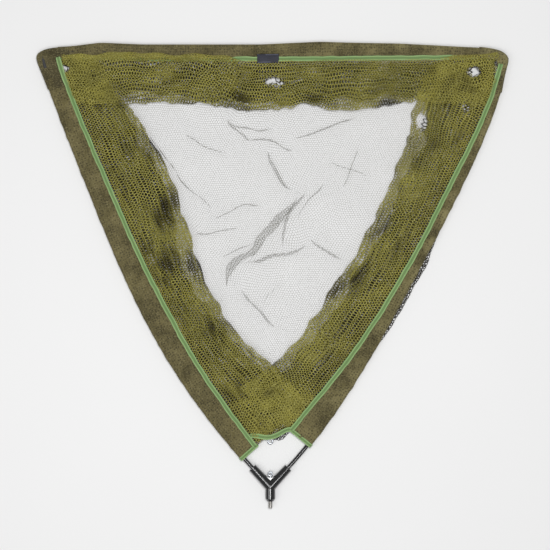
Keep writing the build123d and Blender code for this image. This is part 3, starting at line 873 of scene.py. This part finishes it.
def base_sheet():
    """The base: one crumpled layer, seen from edge to edge and running on under the folded walls."""
    sizes = bpy.context.scene.net_sizes
    low, high = (np.array(c) for c in BASE_BOX)
    edge = 0.034
    outline = []
    for name in ("left", "right"):
        arm = ARMS[name]
        runs = np.linspace(0.22, arm.length - 0.09, 24)
        line = arm.at(runs, tape_inset(name, runs) + TAPE_HALF + along(BAND_WIDTH[name], runs) - edge)
        outline.append(line if name == "left" else line[::-1])
    outline = np.concatenate(outline)
    outline = outline[outline[:, 1] < high[1] + edge]
    start, size = outline.min(0) - 0.01, outline.max(0) - outline.min(0) + 0.02
    points, triangles = lattice(size[0], size[1], sizes.base_pitch)
    points = points + start
    inside = np.zeros(len(points), bool)
    for a, b in zip(outline, np.roll(outline, -1, axis=0)):
        crosses = (a[1] > points[:, 1]) != (b[1] > points[:, 1])
        at = (b[0] - a[0]) * (points[:, 1] - a[1]) / (b[1] - a[1] + 1e-12) + a[0]
        inside ^= crosses & (points[:, 0] < at)
    flat = points.copy()
    height = np.full(len(points), GROUND + 1.6 * MM)
    shift = np.zeros_like(points)
    for begin, end, taken, wide in CREASES:
        a, b = low + (high - low) * np.array(begin), low + (high - low) * np.array(end)
        reach = np.linalg.norm(b - a)
        way = (b - a) / reach
        normal = np.array([-way[1], way[0]])
        t = (flat - a) @ way / reach
        bow = 0.10 * reach * waves(t * reach, 0 * t, int(taken * 1e5) + int(reach * 1e3), 0.30, 0.10, 5)
        d = (flat - a) @ normal + bow * 0.6
        much = smooth(t / 0.3 + 0.15) * smooth((1 - t) / 0.3 + 0.15) * (t > -0.2) * (t < 1.2)
        ramp = smooth(d / wide + 0.5) * np.exp(-np.maximum(d, 0) / 0.13)
        shift -= normal * (1.25 * taken * much * ramp)[:, None]
        height += much * taken * 0.36 * np.exp(-((d / (1.3 * wide)) ** 2))
    ripple = waves(flat[:, 0], flat[:, 1], 21, 0.16, 0.05)
    height += 1.1 * MM * (1 + ripple)
    shift += 0.0016 * np.column_stack([waves(flat[:, 0], flat[:, 1], 22, 0.12, 0.04),
                                       waves(flat[:, 0], flat[:, 1], 23, 0.12, 0.04)])
    return np.column_stack([flat + shift, height]), triangles, inside


# --- Fabric round the arms -----------------------------------------------------------------------
def sleeve_loop(reach):
    """A sleeve's section round its arm and out to the tape: places towards the net, and heights."""
    reach = max(reach, 8.2)
    tongue = [6.2 + (reach - 6.2) * t for t in (0.3, 0.62, 1.0)]
    return np.array([
        (-7.1, -0.5), (-6.2, 3.6), (-3.2, 6.1), (0.6, 6.7), (4.2, 5.6), (tongue[0], 3.2), (tongue[1], 2.5),
        (tongue[2] - 0.5, 3.0), (tongue[2] + 0.6, 1.2), (tongue[2] - 0.5, -1.0), (tongue[1], -3.4),
        (tongue[0], -5.6), (4.0, -7.2), (0.0, -7.6), (-4.2, -6.4), (-6.6, -3.6),
    ]) * MM


def sleeve_sections(name, runs, grow=0.0, wrinkle=1.0, count=60, reach=None):
    """Sections of a sleeve at distances along its arm, wrinkled on the slant."""
    arm, side = ARMS[name], ARMS[name].side
    sections = np.zeros((len(runs), count, 3))
    insets = tape_inset(name, runs) - TAPE_HALF + 1.5 * MM if reach is None else reach
    for i, run in enumerate(runs):
        loop = loop_curve(sleeve_loop(insets[i] / MM), count)
        ahead, behind = np.roll(loop, -1, axis=0), np.roll(loop, 1, axis=0)
        tangent = ahead - behind
        normal = np.stack([tangent[:, 1], -tangent[:, 0]], axis=1)
        normal /= np.linalg.norm(normal, axis=1, keepdims=True) + 1e-9
        if loop[np.argmax(loop[:, 1]), 0] > 0 and normal[np.argmax(loop[:, 1]), 1] < 0:
            normal = -normal
        u = loop[:, 0]
        slant = run * 1.0 + u * 1.15 * side
        folds = waves(slant, u * 0.35, 301 + side, 0.060, 0.016, 12, 0.0, 0.35)
        broad = waves(run + 0 * u, u * 3, 311 + side, 0.170, 0.050, 8, 0.0, 0.5)
        over_rod = smooth((np.abs(u - 0.0) - 5 * MM) / (8 * MM))
        top = smooth(loop[:, 1] / (2 * MM) + 0.7)
        much = wrinkle * MM * (0.55 * folds + 0.35 * broad) * (0.35 + 0.95 * over_rod) * (0.35 + 0.65 * top)
        loop = loop + normal * (grow + much)[:, None]
        sections[i, :, :2] = arm.at(np.full(count, run), loop[:, 0])
        sections[i, :, 2] = loop[:, 1]
    return sections


# The outer and inner edge of each corner pocket, in millimetres from the arm's tip: towards the
# middle of the net, and up it
POCKET_EDGES = {
    "left": (
        ((12.3, -70.6), (0.3, -39.6), (-7.7, -20.6), (-13.7, -3.6), (-12.2, 6.4),
         (-3.7, 13.4), (10.3, 18.9), (27.3, 21.4), (43.3, 22.9), (59.3, 24.4)),
        ((52.3, -65.6), (43.3, -39.6), (36.3, -21.6), (31.3, -9.6), (28.3, -4.6),
         (28.3, -2.6), (33.3, -1.6), (39.3, -1.1), (49.3, -0.6), (59.3, 0.4)),
    ),
    "right": (
        ((8.4, -69.9), (2.4, -36.9), (-2.6, -15.9), (-6.6, -1.9), (-5.6, 7.1),
         (-0.6, 14.1), (8.4, 20.6), (20.4, 24.6), (37.4, 28.1), (57.4, 30.1)),
        ((16.4, -67.9), (13.4, -37.9), (15.4, -17.9), (17.4, -5.9), (19.4, 0.1),
         (22.4, 2.1), (26.4, 3.1), (33.4, 4.1), (43.4, 5.1), (57.4, 6.1)),
    ),
}


def pocket_start(name):
    return ARMS[name].length - 0.058


def build_sleeve(name):
    """A knitted sleeve round one arm, from its cuff to the corner pocket."""
    runs = np.arange(CUFF_RUN[name], pocket_start(name) + 0.012, 2.6 * MM)
    made = swept(f"{name}_sleeve_cloth", sleeve_sections(name, runs, wrinkle=1.9))
    finish_piece(made, f"{name}_side", materials()["sleeve"], [f"{name}_sleeve"])


def build_cuff(name):
    """The binding that closes a sleeve's mouth, with a stitched middle and rolled edges."""
    start, width = CUFF_RUN[name] - 4.5 * MM, 9 * MM
    steps = np.linspace(0, 1, 15)
    runs = start + steps * width
    edge = 0.9 * MM + 0.45 * MM * np.abs(np.sin(steps * math.pi * 2)) + 0.2 * MM
    edge[0] = edge[-1] = 0.3 * MM
    reach = tape_inset(name, np.full(len(runs), start + width / 2)) + TAPE_HALF * 0.8
    sections = sleeve_sections(name, runs, 0.0, 0.25, 72, reach)
    middle = sections.mean(1, keepdims=True)
    out = sections - middle
    sections = sections + out / (np.linalg.norm(out, axis=2, keepdims=True) + 1e-9) * edge[:, None, None]
    made = swept(f"{name}_cuff_binding", sections)
    layer = made.data.uv_layers[0].data
    corners = np.zeros(len(layer) * 2, np.float32)
    layer.foreach_get("uv", corners)
    uv = corners.reshape(-1, 2)
    span = uv[:, 1].max()
    layer.foreach_set("uv", np.stack([uv[:, 1] / span, uv[:, 0]], axis=1).ravel())
    finish_piece(made, f"{name}_side", materials()["tape"], [f"{name}_cuff"])
    lines = []
    for share in (0.32, 0.68):
        row = int(round(share * (len(runs) - 1)))
        ring = sections[row]
        out = ring - ring.mean(0)
        ring = ring + out / (np.linalg.norm(out, axis=1, keepdims=True) + 1e-9) * 0.25 * MM
        lines.append(ring[ring[:, 2] > 0])
    stitched(f"{name}_cuff_stitches", [line for line in lines if len(line) > 3], f"{name}_side")


def build_pocket(name):
    """The reinforced corner: fabric turned round the arm's tip, from the side sleeve to the far one."""
    tip = ARMS[name].place(ARMS[name].length)
    side = ARMS[name].side
    edges = []
    for edge in POCKET_EDGES[name]:
        points = np.array(edge, float)
        spots = np.linspace(0, len(points) - 1, 70)
        fine = np.column_stack([np.interp(spots, np.arange(len(points)), points[:, k]) for k in (0, 1)])
        kernel = np.hanning(13)
        padded = np.pad(fine, ((6, 6), (0, 0)), mode="reflect", reflect_type="odd")
        fine = np.column_stack([np.convolve(padded[:, k], kernel / kernel.sum(), "valid") for k in (0, 1)])
        edges.append(np.column_stack([tip[0] - side * fine[:, 0] * MM, tip[1] + fine[:, 1] * MM]))
    outer, inner = edges
    count = 52
    steps = np.linspace(0, 1, len(outer))
    sections = np.zeros((len(outer), count, 3))
    for i, t in enumerate(steps):
        wide = np.linalg.norm(inner[i] - outer[i]) / MM
        top, under = 7.6 - 2.9 * smooth((t - 0.45) / 0.4), -8.2
        hem = 1 - 0.16 * (math.exp(-((t / 0.03) ** 2)) + math.exp(-(((1 - t) / 0.03) ** 2)))
        hump = min(7.0, wide * 0.42)
        loop = loop_curve(np.array([
            (-0.6, -0.5), (0.9, top * 0.62), (hump * 0.6, top * 0.97), (hump * 1.25, top * 0.93),
            (hump * 1.6 + 0.1 * wide, top * 0.66), (0.75 * wide, 4.6), (wide - 0.5, 4.3), (wide + 0.6, 2.0),
            (wide - 0.5, -1.5), (0.7 * wide, -4.8), (hump * 1.3, under), (hump * 0.6, under),
            (0.9, under * 0.6),
        ]) * MM, count)
        u, z = loop[:, 0], loop[:, 1]
        way = (inner[i] - outer[i]) / np.linalg.norm(inner[i] - outer[i])
        folds = waves(t * 0.14 + 0 * u, u * 0.9, 401 + side, 0.034, 0.009, 14)
        z = z * hem + 0.75 * MM * folds * smooth(z / (3 * MM) + 0.5) * smooth(u / (5 * MM))
        sections[i, :, :2] = outer[i] + way * u[:, None]
        sections[i, :, 2] = z
    made = swept(f"{name}_pocket_cloth", sections)
    finish_piece(made, f"{name}_side", materials()["pocket"], [f"{name}_corner_pocket"])


def ribbon(name, centre, left, wide, thick, heights, seed):
    """A tape lying flat along a line, with raised selvedges; UVs are across and along it."""
    count = len(centre)
    across = np.array([-0.5, -0.47, -0.34, -0.2, 0.0, 0.2, 0.34, 0.47, 0.5, 0.42, 0.0, -0.42])
    lift = np.array([-0.1, 0.75, 1.0, 0.55, 0.35, 0.55, 1.0, 0.75, -0.1, -1.0, -1.0, -1.0]) * thick / 2
    step = np.linalg.norm(np.diff(centre, axis=0), axis=1)
    run = np.concatenate([[0], np.cumsum(step)])
    wander = 0.5 * MM * waves(run, 0 * run, seed, 0.10, 0.02, 8)
    swell = 1 + 0.06 * waves(run, 0 * run, seed + 1, 0.05, 0.012, 8)
    twist = 0.10 * waves(run, 0 * run, seed + 2, 0.20, 0.05, 6)
    points = np.zeros((count, len(across), 3))
    for k, (a, z) in enumerate(zip(across, lift)):
        off = a * wide * swell + wander
        points[:, k, :2] = centre + left * off[:, None]
        points[:, k, 2] = heights + z + a * wide * twist
    uv = np.stack(np.broadcast_arrays(across + 0.5, run[:, None]), axis=-1).reshape(-1, 2)
    made = outward(new_object(name, points.reshape(-1, 3), tube_faces(count, len(across)), uv))
    rows = []
    for a in (-0.24, 0.24):
        off = a * wide * swell + wander
        flat = centre + left * off[:, None]
        rows.append(np.column_stack([flat, heights + thick * 0.33 + a * wide * twist]))
    return made, rows


def left_of(line):
    """The unit direction to the left of a line (n, 2), at each of its points."""
    head = np.gradient(line, axis=0)
    head /= np.linalg.norm(head, axis=1, keepdims=True)
    return np.stack([-head[:, 1], head[:, 0]], axis=1)


def build_side_tape(name):
    """A woven tape sewn along one side of the mouth, where the sleeve and the net meet."""
    sizes = bpy.context.scene.net_sizes
    runs = np.arange(CUFF_RUN[name], ARMS[name].length - 0.008, 3 * MM)
    centre = ARMS[name].at(runs, tape_inset(name, runs))
    made, rows = ribbon(f"{name}_side_tape", centre, left_of(centre), sizes.tape_width, 1.7 * MM,
                        np.full(len(centre), 5.2 * MM), 500 + ARMS[name].side)
    finish_piece(made, f"{name}_side", materials()["tape"], [f"{name}_rim_tape"])
    stitched(f"{name}_tape_stitches", rows, f"{name}_side")


def split_halves(made, at, axis=0):
    """Splits an object across one axis into its low and high halves."""
    halves = []
    for keep_low in (True, False):
        copy = made.copy()
        copy.data = made.data.copy()
        bpy.context.scene.collection.objects.link(copy)
        shape = bmesh.new()
        shape.from_mesh(copy.data)
        doomed = [f for f in shape.faces if (f.calc_center_median()[axis] < at) != keep_low]
        bmesh.ops.delete(shape, geom=doomed, context="FACES")
        shape.to_mesh(copy.data)
        shape.free()
        halves.append(copy)
    bpy.data.objects.remove(made)
    return halves


def top_bend(end, y):
    """Where a piece of the far side starts to follow an arm, and where it follows it fully."""
    return (math.copysign(0.05, end), y, 0), (end * 0.97, y, 0)


def across_top(halves, names, replaced):
    """Names the two halves of a piece that spans the far side, shades them smooth and hides the CAD nodes
    they stand for.
    """
    left_end, right_end = TOP_SLEEVE[0].x, TOP_SLEEVE[1].x
    for made, name, body, end in zip(halves, names, ("left_side", "right_side"), (left_end, right_end)):
        made.name = name
        made.data.shade_smooth()
        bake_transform(made)
        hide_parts(*replaced)


def top_edge(x):
    """The far outline of the top sleeve, which bows out between the corners."""
    bow = along(((-0.50, -8), (-0.44, -5), (-0.375, 3), (-0.33, 1), (-0.28, -1), (-0.02, -1), (0.065, 3),
                 (0.11, 5), (0.175, 3), (0.285, 1), (0.373, -3.5), (0.417, -6), (0.461, -8),
                 (0.52, -12)), x, 0.02)
    return TOP_SLEEVE[1].y + bow * MM


def build_top_sleeve():
    """The fabric that closes the far side, folded over the cord and sewn to the rim."""
    left, right = ARMS["left"].place(ARMS["left"].length), ARMS["right"].place(ARMS["right"].length)
    xs = np.arange(left[0] + 34 * MM, right[0] - 34 * MM, 2.6 * MM)
    count = 56
    sections = np.zeros((len(xs), count, 3))
    for i, x in enumerate(xs):
        outer = float(top_edge(x))
        close = min(smooth((x - xs[0]) / 0.02), smooth((xs[-1] - x) / 0.02)) * 0.5 + 0.5
        inner = TAPE_LINE_Y + TAPE_HALF - 1.5 * MM
        wide = max((outer - inner) / MM, 14)
        loop = np.array([
            (0, -1.0), (1.2, 2.2), (4.5, 3.6), (0.40 * wide, 2.9), (0.70 * wide, 3.2), (wide - 1, 3.4),
            (wide, 1.4), (wide - 1, -1.5), (0.70 * wide, -5.0), (0.40 * wide, -7.2), (4.5, -7.6), (1.2, -5.0),
        ]) * MM
        loop = loop_curve(loop, count)
        v = loop[:, 0]
        folds = waves(x + v * 0.9, v * 0.4, 601, 0.075, 0.018, 12, 0.0, 0.4)
        broad = waves(x + 0 * v, v * 2.5, 611, 0.20, 0.05, 8, 0.0, 0.6)
        up = smooth(loop[:, 1] / (2 * MM) + 0.7)
        loop[:, 1] += (1.0 * MM * folds + 0.7 * MM * broad) * (0.3 + 0.7 * up) * smooth(v / (6 * MM) + 0.2)
        loop[:, 1] = (loop[:, 1] - 0.5 * MM) * close
        sections[i, :, 0] = x
        sections[i, :, 1] = outer - loop[:, 0]
        sections[i, :, 2] = loop[:, 1]
    made = swept("top_sleeve_cloth", sections)
    made.data.materials.append(materials()["sleeve"])
    halves = split_halves(made, 0.0)
    across_top(halves, ("top_sleeve_cloth_left", "top_sleeve_cloth_right"), ["top_sleeve"])


def build_top_tape():
    """The tape along the far side of the mouth."""
    sizes = bpy.context.scene.net_sizes
    left = ARMS["left"].at(ARMS["left"].length - 0.006, tape_inset("left", ARMS["left"].length))
    right = ARMS["right"].at(ARMS["right"].length - 0.006, tape_inset("right", ARMS["right"].length))
    x = np.arange(left[0] + 4 * MM, right[0] - 4 * MM, 3 * MM)
    y = TAPE_LINE_Y + along(((-0.48, 0.006), (-0.3, 0.001), (-0.05, -0.001), (0.15, 0.0), (0.35, 0.002),
                             (0.5, 0.004)), x)
    # The tape lies low where the netting has flopped over it
    z = along(((-0.48, 0.0010), (-0.40, 0.0006), (-0.085, 0.0006), (-0.055, 0.0046), (0.385, 0.0046),
               (0.42, 0.0008), (0.5, 0.0008)), x, 0.012)
    centre = np.column_stack([x, y])
    left_way = np.broadcast_to([0.0, 1.0], centre.shape)
    made, rows = ribbon("top_tape", centre, left_way, sizes.tape_width, 1.7 * MM, z, 640)
    made.data.materials.append(materials()["tape"])
    halves = split_halves(made, 0.0)
    across_top(halves, ("top_tape_left", "top_tape_right"), ["top_rim_tape"])
    for keep_low, name, end in ((True, "left", TOP_SLEEVE[0].x), (False, "right", TOP_SLEEVE[1].x)):
        lines = [row[(row[:, 0] < 0) == keep_low] for row in rows]
        stitched_across(f"top_tape_stitches_{name}", lines, f"{name}_side", *top_bend(end, 0.95))


def front_tape_line():
    """The near tape's centreline, read from its CAD strip."""
    points = np.array([v.co for v in frame["nodes"]["front_rim_tape"].data.vertices])
    fit = np.polyfit(points[:, 0], points[:, 1], 4)
    x = np.linspace(points[:, 0].min() - 6 * MM, points[:, 0].max() + 5 * MM, 48)
    inside = np.clip(x, points[:, 0].min() + 3 * MM, points[:, 0].max() - 3 * MM)
    y = np.polyval(fit, inside) + np.polyval(np.polyder(fit), inside) * (x - inside)
    return np.column_stack([x, y])


def build_front_tape():
    """The tape across the near side of the mouth, from cuff to cuff."""
    sizes = bpy.context.scene.net_sizes
    centre = front_tape_line()
    made, rows = ribbon("front_tape", centre, left_of(centre), sizes.tape_width, 1.8 * MM,
                        np.full(len(centre), 4.6 * MM), 660)
    made.data.materials.append(materials()["tape"])
    middle = float(centre[:, 0].mean())
    halves = split_halves(made, middle)
    for keep_low, half, name in ((True, halves[0], "left"), (False, halves[1], "right")):
        half.name = f"front_tape_{name}"
        half.data.shade_smooth()
        end = centre[0] if keep_low else centre[-1]
        start, stop = (middle, float(centre[:, 1].mean()), 0), (float(end[0]), float(end[1]), 0)
        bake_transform(half)
        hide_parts("front_rim_tape")
        lines = [row[(row[:, 0] < middle) == keep_low] for row in rows]
        stitched_across(f"front_tape_stitches_{name}", lines, f"{name}_side", start, stop)


def build_label():
    """A plain woven label sewn over the far tape, with a border and no lettering."""
    low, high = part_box("label_tag")
    wide, tall = high.x - low.x, high.y - low.y
    cols, rows = 34, 16
    points, uv = [], []
    for layer in (0, 1):
        for j in range(rows + 1):
            for i in range(cols + 1):
                u, v = i / cols, j / rows
                z = high.z + 0.6 * MM + 0.5 * MM * math.sin(u * 5.0 + v) - 1.3 * MM * abs(2 * v - 1) ** 3
                z -= 0.8 * MM * abs(2 * u - 1) ** 6
                rim = min(u * wide, (1 - u) * wide, v * tall, (1 - v) * tall)
                z += 0.16 * MM * math.exp(-(((rim - 1.3 * MM) / (0.7 * MM)) ** 2))
                y = low.y + v * tall + 0.8 * MM * math.sin((u - 0.5) * 1.4)
                points.append((low.x + u * wide, y, z - layer * 0.7 * MM))
                uv.append((u * wide, v * tall))
    faces = []
    size = (rows + 1) * (cols + 1)
    for j in range(rows):
        for i in range(cols):
            a = j * (cols + 1) + i
            faces.append((a, a + 1, a + cols + 2, a + cols + 1))
            faces.append((a + size, a + size + cols + 1, a + size + cols + 2, a + size + 1))
    rim = [i for i in range(cols + 1)] + [j * (cols + 1) + cols for j in range(1, rows + 1)]
    rim += [rows * (cols + 1) + i for i in range(cols - 1, -1, -1)]
    rim += [j * (cols + 1) for j in range(rows - 1, 0, -1)]
    for a, b in zip(rim, rim[1:] + rim[:1]):
        faces.append((a, a + size, b + size, b))
    made = outward(new_object("label_cloth", points, faces, uv))
    finish_piece(made, "spreader", materials()["label"], ["label_tag"])
    made.data.materials.append(materials()["label_edge"])
    for face in made.data.polygons:
        x, y, _ = face.center
        rim = min(x - low.x, high.x - x, y - low.y, high.y - y)
        face.material_index = 1 if 1.1 * MM < rim < 2.0 * MM else 0


# --- Metal and plastic ---------------------------------------------------------------------------
def build_stud():
    """The stud's screw thread, cut on its plain cylinder, with a chamfered end."""
    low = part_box("handle_stud")[0]
    pitch, crest, deep = bpy.context.scene.net_sizes.thread_pitch, 4.7625 * MM, 0.72 * MM
    length = 16.6 * MM
    count, per_turn = 48, 8
    rows = int(length / pitch * per_turn)
    sections = np.zeros((rows + 1, count, 3))
    angle = np.linspace(0, 2 * math.pi, count, endpoint=False)
    for r in range(rows + 1):
        y = low.y + r * length / rows
        phase = (y / pitch + angle / (2 * math.pi)) % 1.0
        groove = np.clip(1.25 - np.abs(2 * phase - 1) * 1.5, 0, 1)
        radius = crest - deep * groove
        radius = np.minimum(radius, crest - 1.1 * MM + (y - low.y) * 0.9)
        sections[r, :, 0] = np.cos(angle) * radius
        sections[r, :, 1] = y
        sections[r, :, 2] = np.sin(angle) * radius
    made = swept("stud_thread", sections)
    finish_piece(made, "spreader", materials()["stud"], ["handle_stud"])


def build_eyelet():
    """A rolled eyelet pressed through the near tape."""
    low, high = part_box("rim_eyelet")
    centre = (low + high) / 2
    outer, hole = (high.x - low.x) / 2, (high.x - low.x) / 4
    tall = (high.z - low.z) / 2
    profile = loop_curve(np.array([
        (hole, 0), (hole + 0.3 * MM, tall * 0.7), (hole + 1.2 * MM, tall), (outer - 1.0 * MM, tall * 0.8),
        (outer, tall * 0.35), (outer - 0.4 * MM, 0), (outer, -tall * 0.35), (outer - 1.0 * MM, -tall * 0.8),
        (hole + 1.2 * MM, -tall), (hole + 0.3 * MM, -tall * 0.7)]), 28)
    count = 56
    points, faces = [], []
    for i in range(count):
        a = 2 * math.pi * i / count
        points += [(centre.x + r * math.cos(a), centre.y + r * math.sin(a), centre.z + z) for r, z in profile]
    size = len(profile)
    for i in range(count):
        for k in range(size):
            here, ahead, up = i * size, (i + 1) % count * size, (k + 1) % size
            faces.append((here + k, here + up, ahead + up, ahead + k))
    made = outward(new_object("eyelet_ring", points, faces))
    finish_piece(made, "spreader", materials()["eye"], ["rim_eyelet"])


def dress_cad_nodes():
    """Gives the CAD parts that stay in view their finishes."""
    named = {
        "spreader_block": ("block", "block_plastic"), "keeper_eye": ("eye", "eye_metal"),
        "left_arm": ("arm", "arm_fibre"), "right_arm": ("arm", "arm_fibre"),
        "left_butt_plug": ("plug", "plug_metal"), "right_butt_plug": ("plug", "plug_metal"),
        "left_tip_cap": ("cap", "cap_rubber"), "right_tip_cap": ("cap", "cap_rubber"),
        "top_cord": ("cord", "cord"), "cord_knots": ("cord", "cord"),
    }
    for name, (finish, slot) in named.items():
        node = frame["nodes"][name]
        node.data.materials.clear()
        node.data.materials.append(materials()[finish])


def hang_net(name, sheet, chosen, side, start, end, node, length, held):
    """A piece of wall, knitted over the chosen points of a sheet, which hides the CAD node that it stands
    for.

    Netting is cut by its size with the meshes drawn shut, which is HANGING of its open width."""
    sizes = bpy.context.scene.net_sizes
    made = net_piece(name, *sheet, chosen, sizes.wall_pitch, sizes.wall_strand, materials()["wall"])
    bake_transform(made)
    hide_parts(node)


def build_side_net(name):
    """One side's folded wall, in an upper and a lower piece."""
    arm, side = ARMS[name], ARMS[name].side
    points, triangles, leg, length = side_wall(name, side)
    head = arm.heading(np.array(arm.length / 2))
    middle = arm.at(np.array(arm.length / 2), np.array(0.0))
    inward = np.array([-side * head[1], side * head[0]])
    start, end = ((*map(float, middle + inward * inset), 0) for inset in (0.155, 0.075))
    for part, chosen, held in (("upper", (leg == 0) | (leg == 1), "hung"), ("lower", leg >= 2, "folded")):
        hang_net(f"{name}_net_{part}", (points, triangles), chosen, name, start, end,
                 f"{name}_net_wall", length, held)


def build_top_net():
    """The far wall, in a left and a right half."""
    points, triangles, kept = top_wall()
    for name, half in (("left", points[:, 0] < 0), ("right", points[:, 0] >= 0)):
        end = (TOP_SLEEVE[0] if name == "left" else TOP_SLEEVE[1]).x
        hang_net(f"top_net_{name}", (points, triangles), half & kept, name, *top_bend(end, 0.9),
                 "top_net_wall", abs(end), "folded")


def build_front_net():
    """The near wall, in halves as its tape is."""
    points, triangles = front_wall()
    line = front_tape_line()
    middle, centre = float(line[:, 0].mean()), float(line[:, 1].mean())
    low = points[:, 0] < middle
    for name, half, end in (("left", low, line[0]), ("right", ~low, line[-1])):
        hang_net(f"front_net_{name}", (points, triangles), half, name, (middle, centre, 0),
                 (float(end[0]), float(end[1]), 0), f"{name}_net_wall", 0.09, "folded")


def build_base_net():
    """The base, which lies on the ground inside the folded walls."""
    points, triangles, inside = base_sheet()
    sizes = bpy.context.scene.net_sizes
    made = net_piece("base_net", points, triangles, inside, sizes.base_pitch, sizes.base_strand,
                     materials()["base"], rise=0.25 * MM)
    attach(made, "spreader")
    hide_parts("net_base")


# --- Stage ---------------------------------------------------------------------------------------
def build_stage():
    """A plain pale floor, soft overhead light and a camera straight above."""
    centre = Vector((0.0103, 0.4983, 0.0))
    mesh = bpy.data.meshes.new("floor")
    half = 6.0
    corners = ((-half, -half), (half, -half), (half, half + 1), (-half, half + 1))
    mesh.from_pydata([(x, y, GROUND) for x, y in corners], [], [(0, 1, 2, 3)])
    floor = bpy.data.objects.new("floor", mesh)
    bpy.context.scene.collection.objects.link(floor)
    paint = Finish("matt_backdrop_paper")
    grain = paint.noise(0.4, 2)
    paint.set(Base_Color=paint.mix(grain, linear("#E9E9E9"), linear("#EBEBEB")), Roughness=0.95,
              Specular_IOR_Level=0.05)
    mesh.materials.append(paint.material)

    world = bpy.data.worlds.new("studio")
    world.use_nodes = True
    world.node_tree.nodes["Background"].inputs[0].default_value = linear("#FFFFFF")
    world.node_tree.nodes["Background"].inputs[1].default_value = 0.295
    bpy.context.scene.world = world

    def lamp(name, place, size, watts, target):
        data = bpy.data.lights.new(name, "AREA")
        data.shape, data.size, data.size_y, data.energy = "RECTANGLE", size[0], size[1], watts
        made = bpy.data.objects.new(name, data)
        made.location = place
        made.rotation_euler = (Vector(target) - Vector(place)).to_track_quat("-Z", "Y").to_euler()
        bpy.context.scene.collection.objects.link(made)

    lamp("key_softbox", (0.25, 1.0, 3.7), (1.0, 1.0), 77, (0, 0.45, 0))
    lamp("near_strip", (0.0, -0.5, 3.2), (0.6, 0.6), 18, (0, 0.0, 0))
    lamp("fill_softbox", (-2.0, -0.4, 3.0), (1.6, 1.6), 20, (0, 0.45, 0))

    lens = bpy.data.cameras.new("overhead")
    lens.lens, lens.sensor_width = 95, 36
    camera = bpy.data.objects.new("overhead", lens)
    camera.location = centre + Vector((0, 0, 3.2))
    bpy.context.scene.collection.objects.link(camera)
    bpy.context.scene.camera = camera
    bpy.context.scene.view_settings.view_transform = "Standard"


# --- Operators and panel -------------------------------------------------------------------------
class NetStep:
    """What the operators share."""

    bl_options = {"REGISTER", "UNDO"}

    def execute(self, context):
        self.build()
        return {"FINISHED"}


class LANDING_NET_OT_frame_finish(NetStep, bpy.types.Operator):
    """Finish the block, the arms, their plugs and caps, and the cord"""

    bl_idname = "landing_net.frame_finish"
    bl_label = "Finish Block and Arms"

    def build(self):
        dress_cad_nodes()


class LANDING_NET_OT_stud(NetStep, bpy.types.Operator):
    """Cut the stud's screw thread"""

    bl_idname = "landing_net.stud"
    bl_label = "Thread Stud"

    def build(self):
        build_stud()


class LANDING_NET_OT_eyelet(NetStep, bpy.types.Operator):
    """Press the eyelet into the near tape"""

    bl_idname = "landing_net.eyelet"
    bl_label = "Press Eyelet"

    def build(self):
        build_eyelet()


class LANDING_NET_OT_sleeves(NetStep, bpy.types.Operator):
    """Make the arms' knitted sleeves with their cuffs and corner pockets"""

    bl_idname = "landing_net.sleeves"
    bl_label = "Make Sleeves"

    def build(self):
        for name, _ in SIDES:
            build_sleeve(name)
            build_cuff(name)
            build_pocket(name)


class LANDING_NET_OT_top(NetStep, bpy.types.Operator):
    """Make the far side's sleeve, its tape and the label"""

    bl_idname = "landing_net.top"
    bl_label = "Make Far Side"

    def build(self):
        build_top_sleeve()
        build_top_tape()
        build_label()


class LANDING_NET_OT_tapes(NetStep, bpy.types.Operator):
    """Sew the tapes along the sides and the near end"""

    bl_idname = "landing_net.tapes"
    bl_label = "Sew Rim Tapes"

    def build(self):
        for name, _ in SIDES:
            build_side_tape(name)
        build_front_tape()


class LANDING_NET_OT_walls(NetStep, bpy.types.Operator):
    """Knit and fold the net's walls"""

    bl_idname = "landing_net.walls"
    bl_label = "Knit Walls"

    def build(self):
        for name, _ in SIDES:
            build_side_net(name)
        build_top_net()
        build_front_net()


class LANDING_NET_OT_base(NetStep, bpy.types.Operator):
    """Knit the net's base and lay it down"""

    bl_idname = "landing_net.base"
    bl_label = "Knit Base"

    def build(self):
        build_base_net()


class LANDING_NET_OT_stage(NetStep, bpy.types.Operator):
    """Set the floor, the lights and the camera"""

    bl_idname = "landing_net.stage"
    bl_label = "Set Stage"

    def build(self):
        build_stage()


STEPS = (LANDING_NET_OT_frame_finish, LANDING_NET_OT_stud, LANDING_NET_OT_eyelet, LANDING_NET_OT_sleeves,
         LANDING_NET_OT_top, LANDING_NET_OT_tapes, LANDING_NET_OT_walls, LANDING_NET_OT_base,
         LANDING_NET_OT_stage)


class LANDING_NET_PT_panel(bpy.types.Panel):
    """Sizes and colours of the net, and its steps in order"""

    bl_idname = "LANDING_NET_PT_panel"
    bl_label = "Landing Net"
    bl_space_type = "VIEW_3D"
    bl_region_type = "UI"
    bl_category = "Landing Net"

    def draw(self, context):
        for group in (context.scene.net_sizes, context.scene.net_colours):
            box = self.layout.box()
            for key in group.__annotations__:
                box.prop(group, key)
        for step in STEPS:
            self.layout.operator(step.bl_idname)


CLASSES = (NetSizes, NetColours, *STEPS, LANDING_NET_PT_panel)


def register():
    for item in CLASSES:
        bpy.utils.register_class(item)
    bpy.types.Scene.net_sizes = bpy.props.PointerProperty(type=NetSizes)
    bpy.types.Scene.net_colours = bpy.props.PointerProperty(type=NetColours)


def unregister():
    del bpy.types.Scene.net_colours
    del bpy.types.Scene.net_sizes
    for item in reversed(CLASSES):
        bpy.utils.unregister_class(item)


def main():
    register()
    for step in STEPS:
        group, name = step.bl_idname.split(".")
        getattr(getattr(bpy.ops, group), name)()


if __name__ == "__main__":
    main()
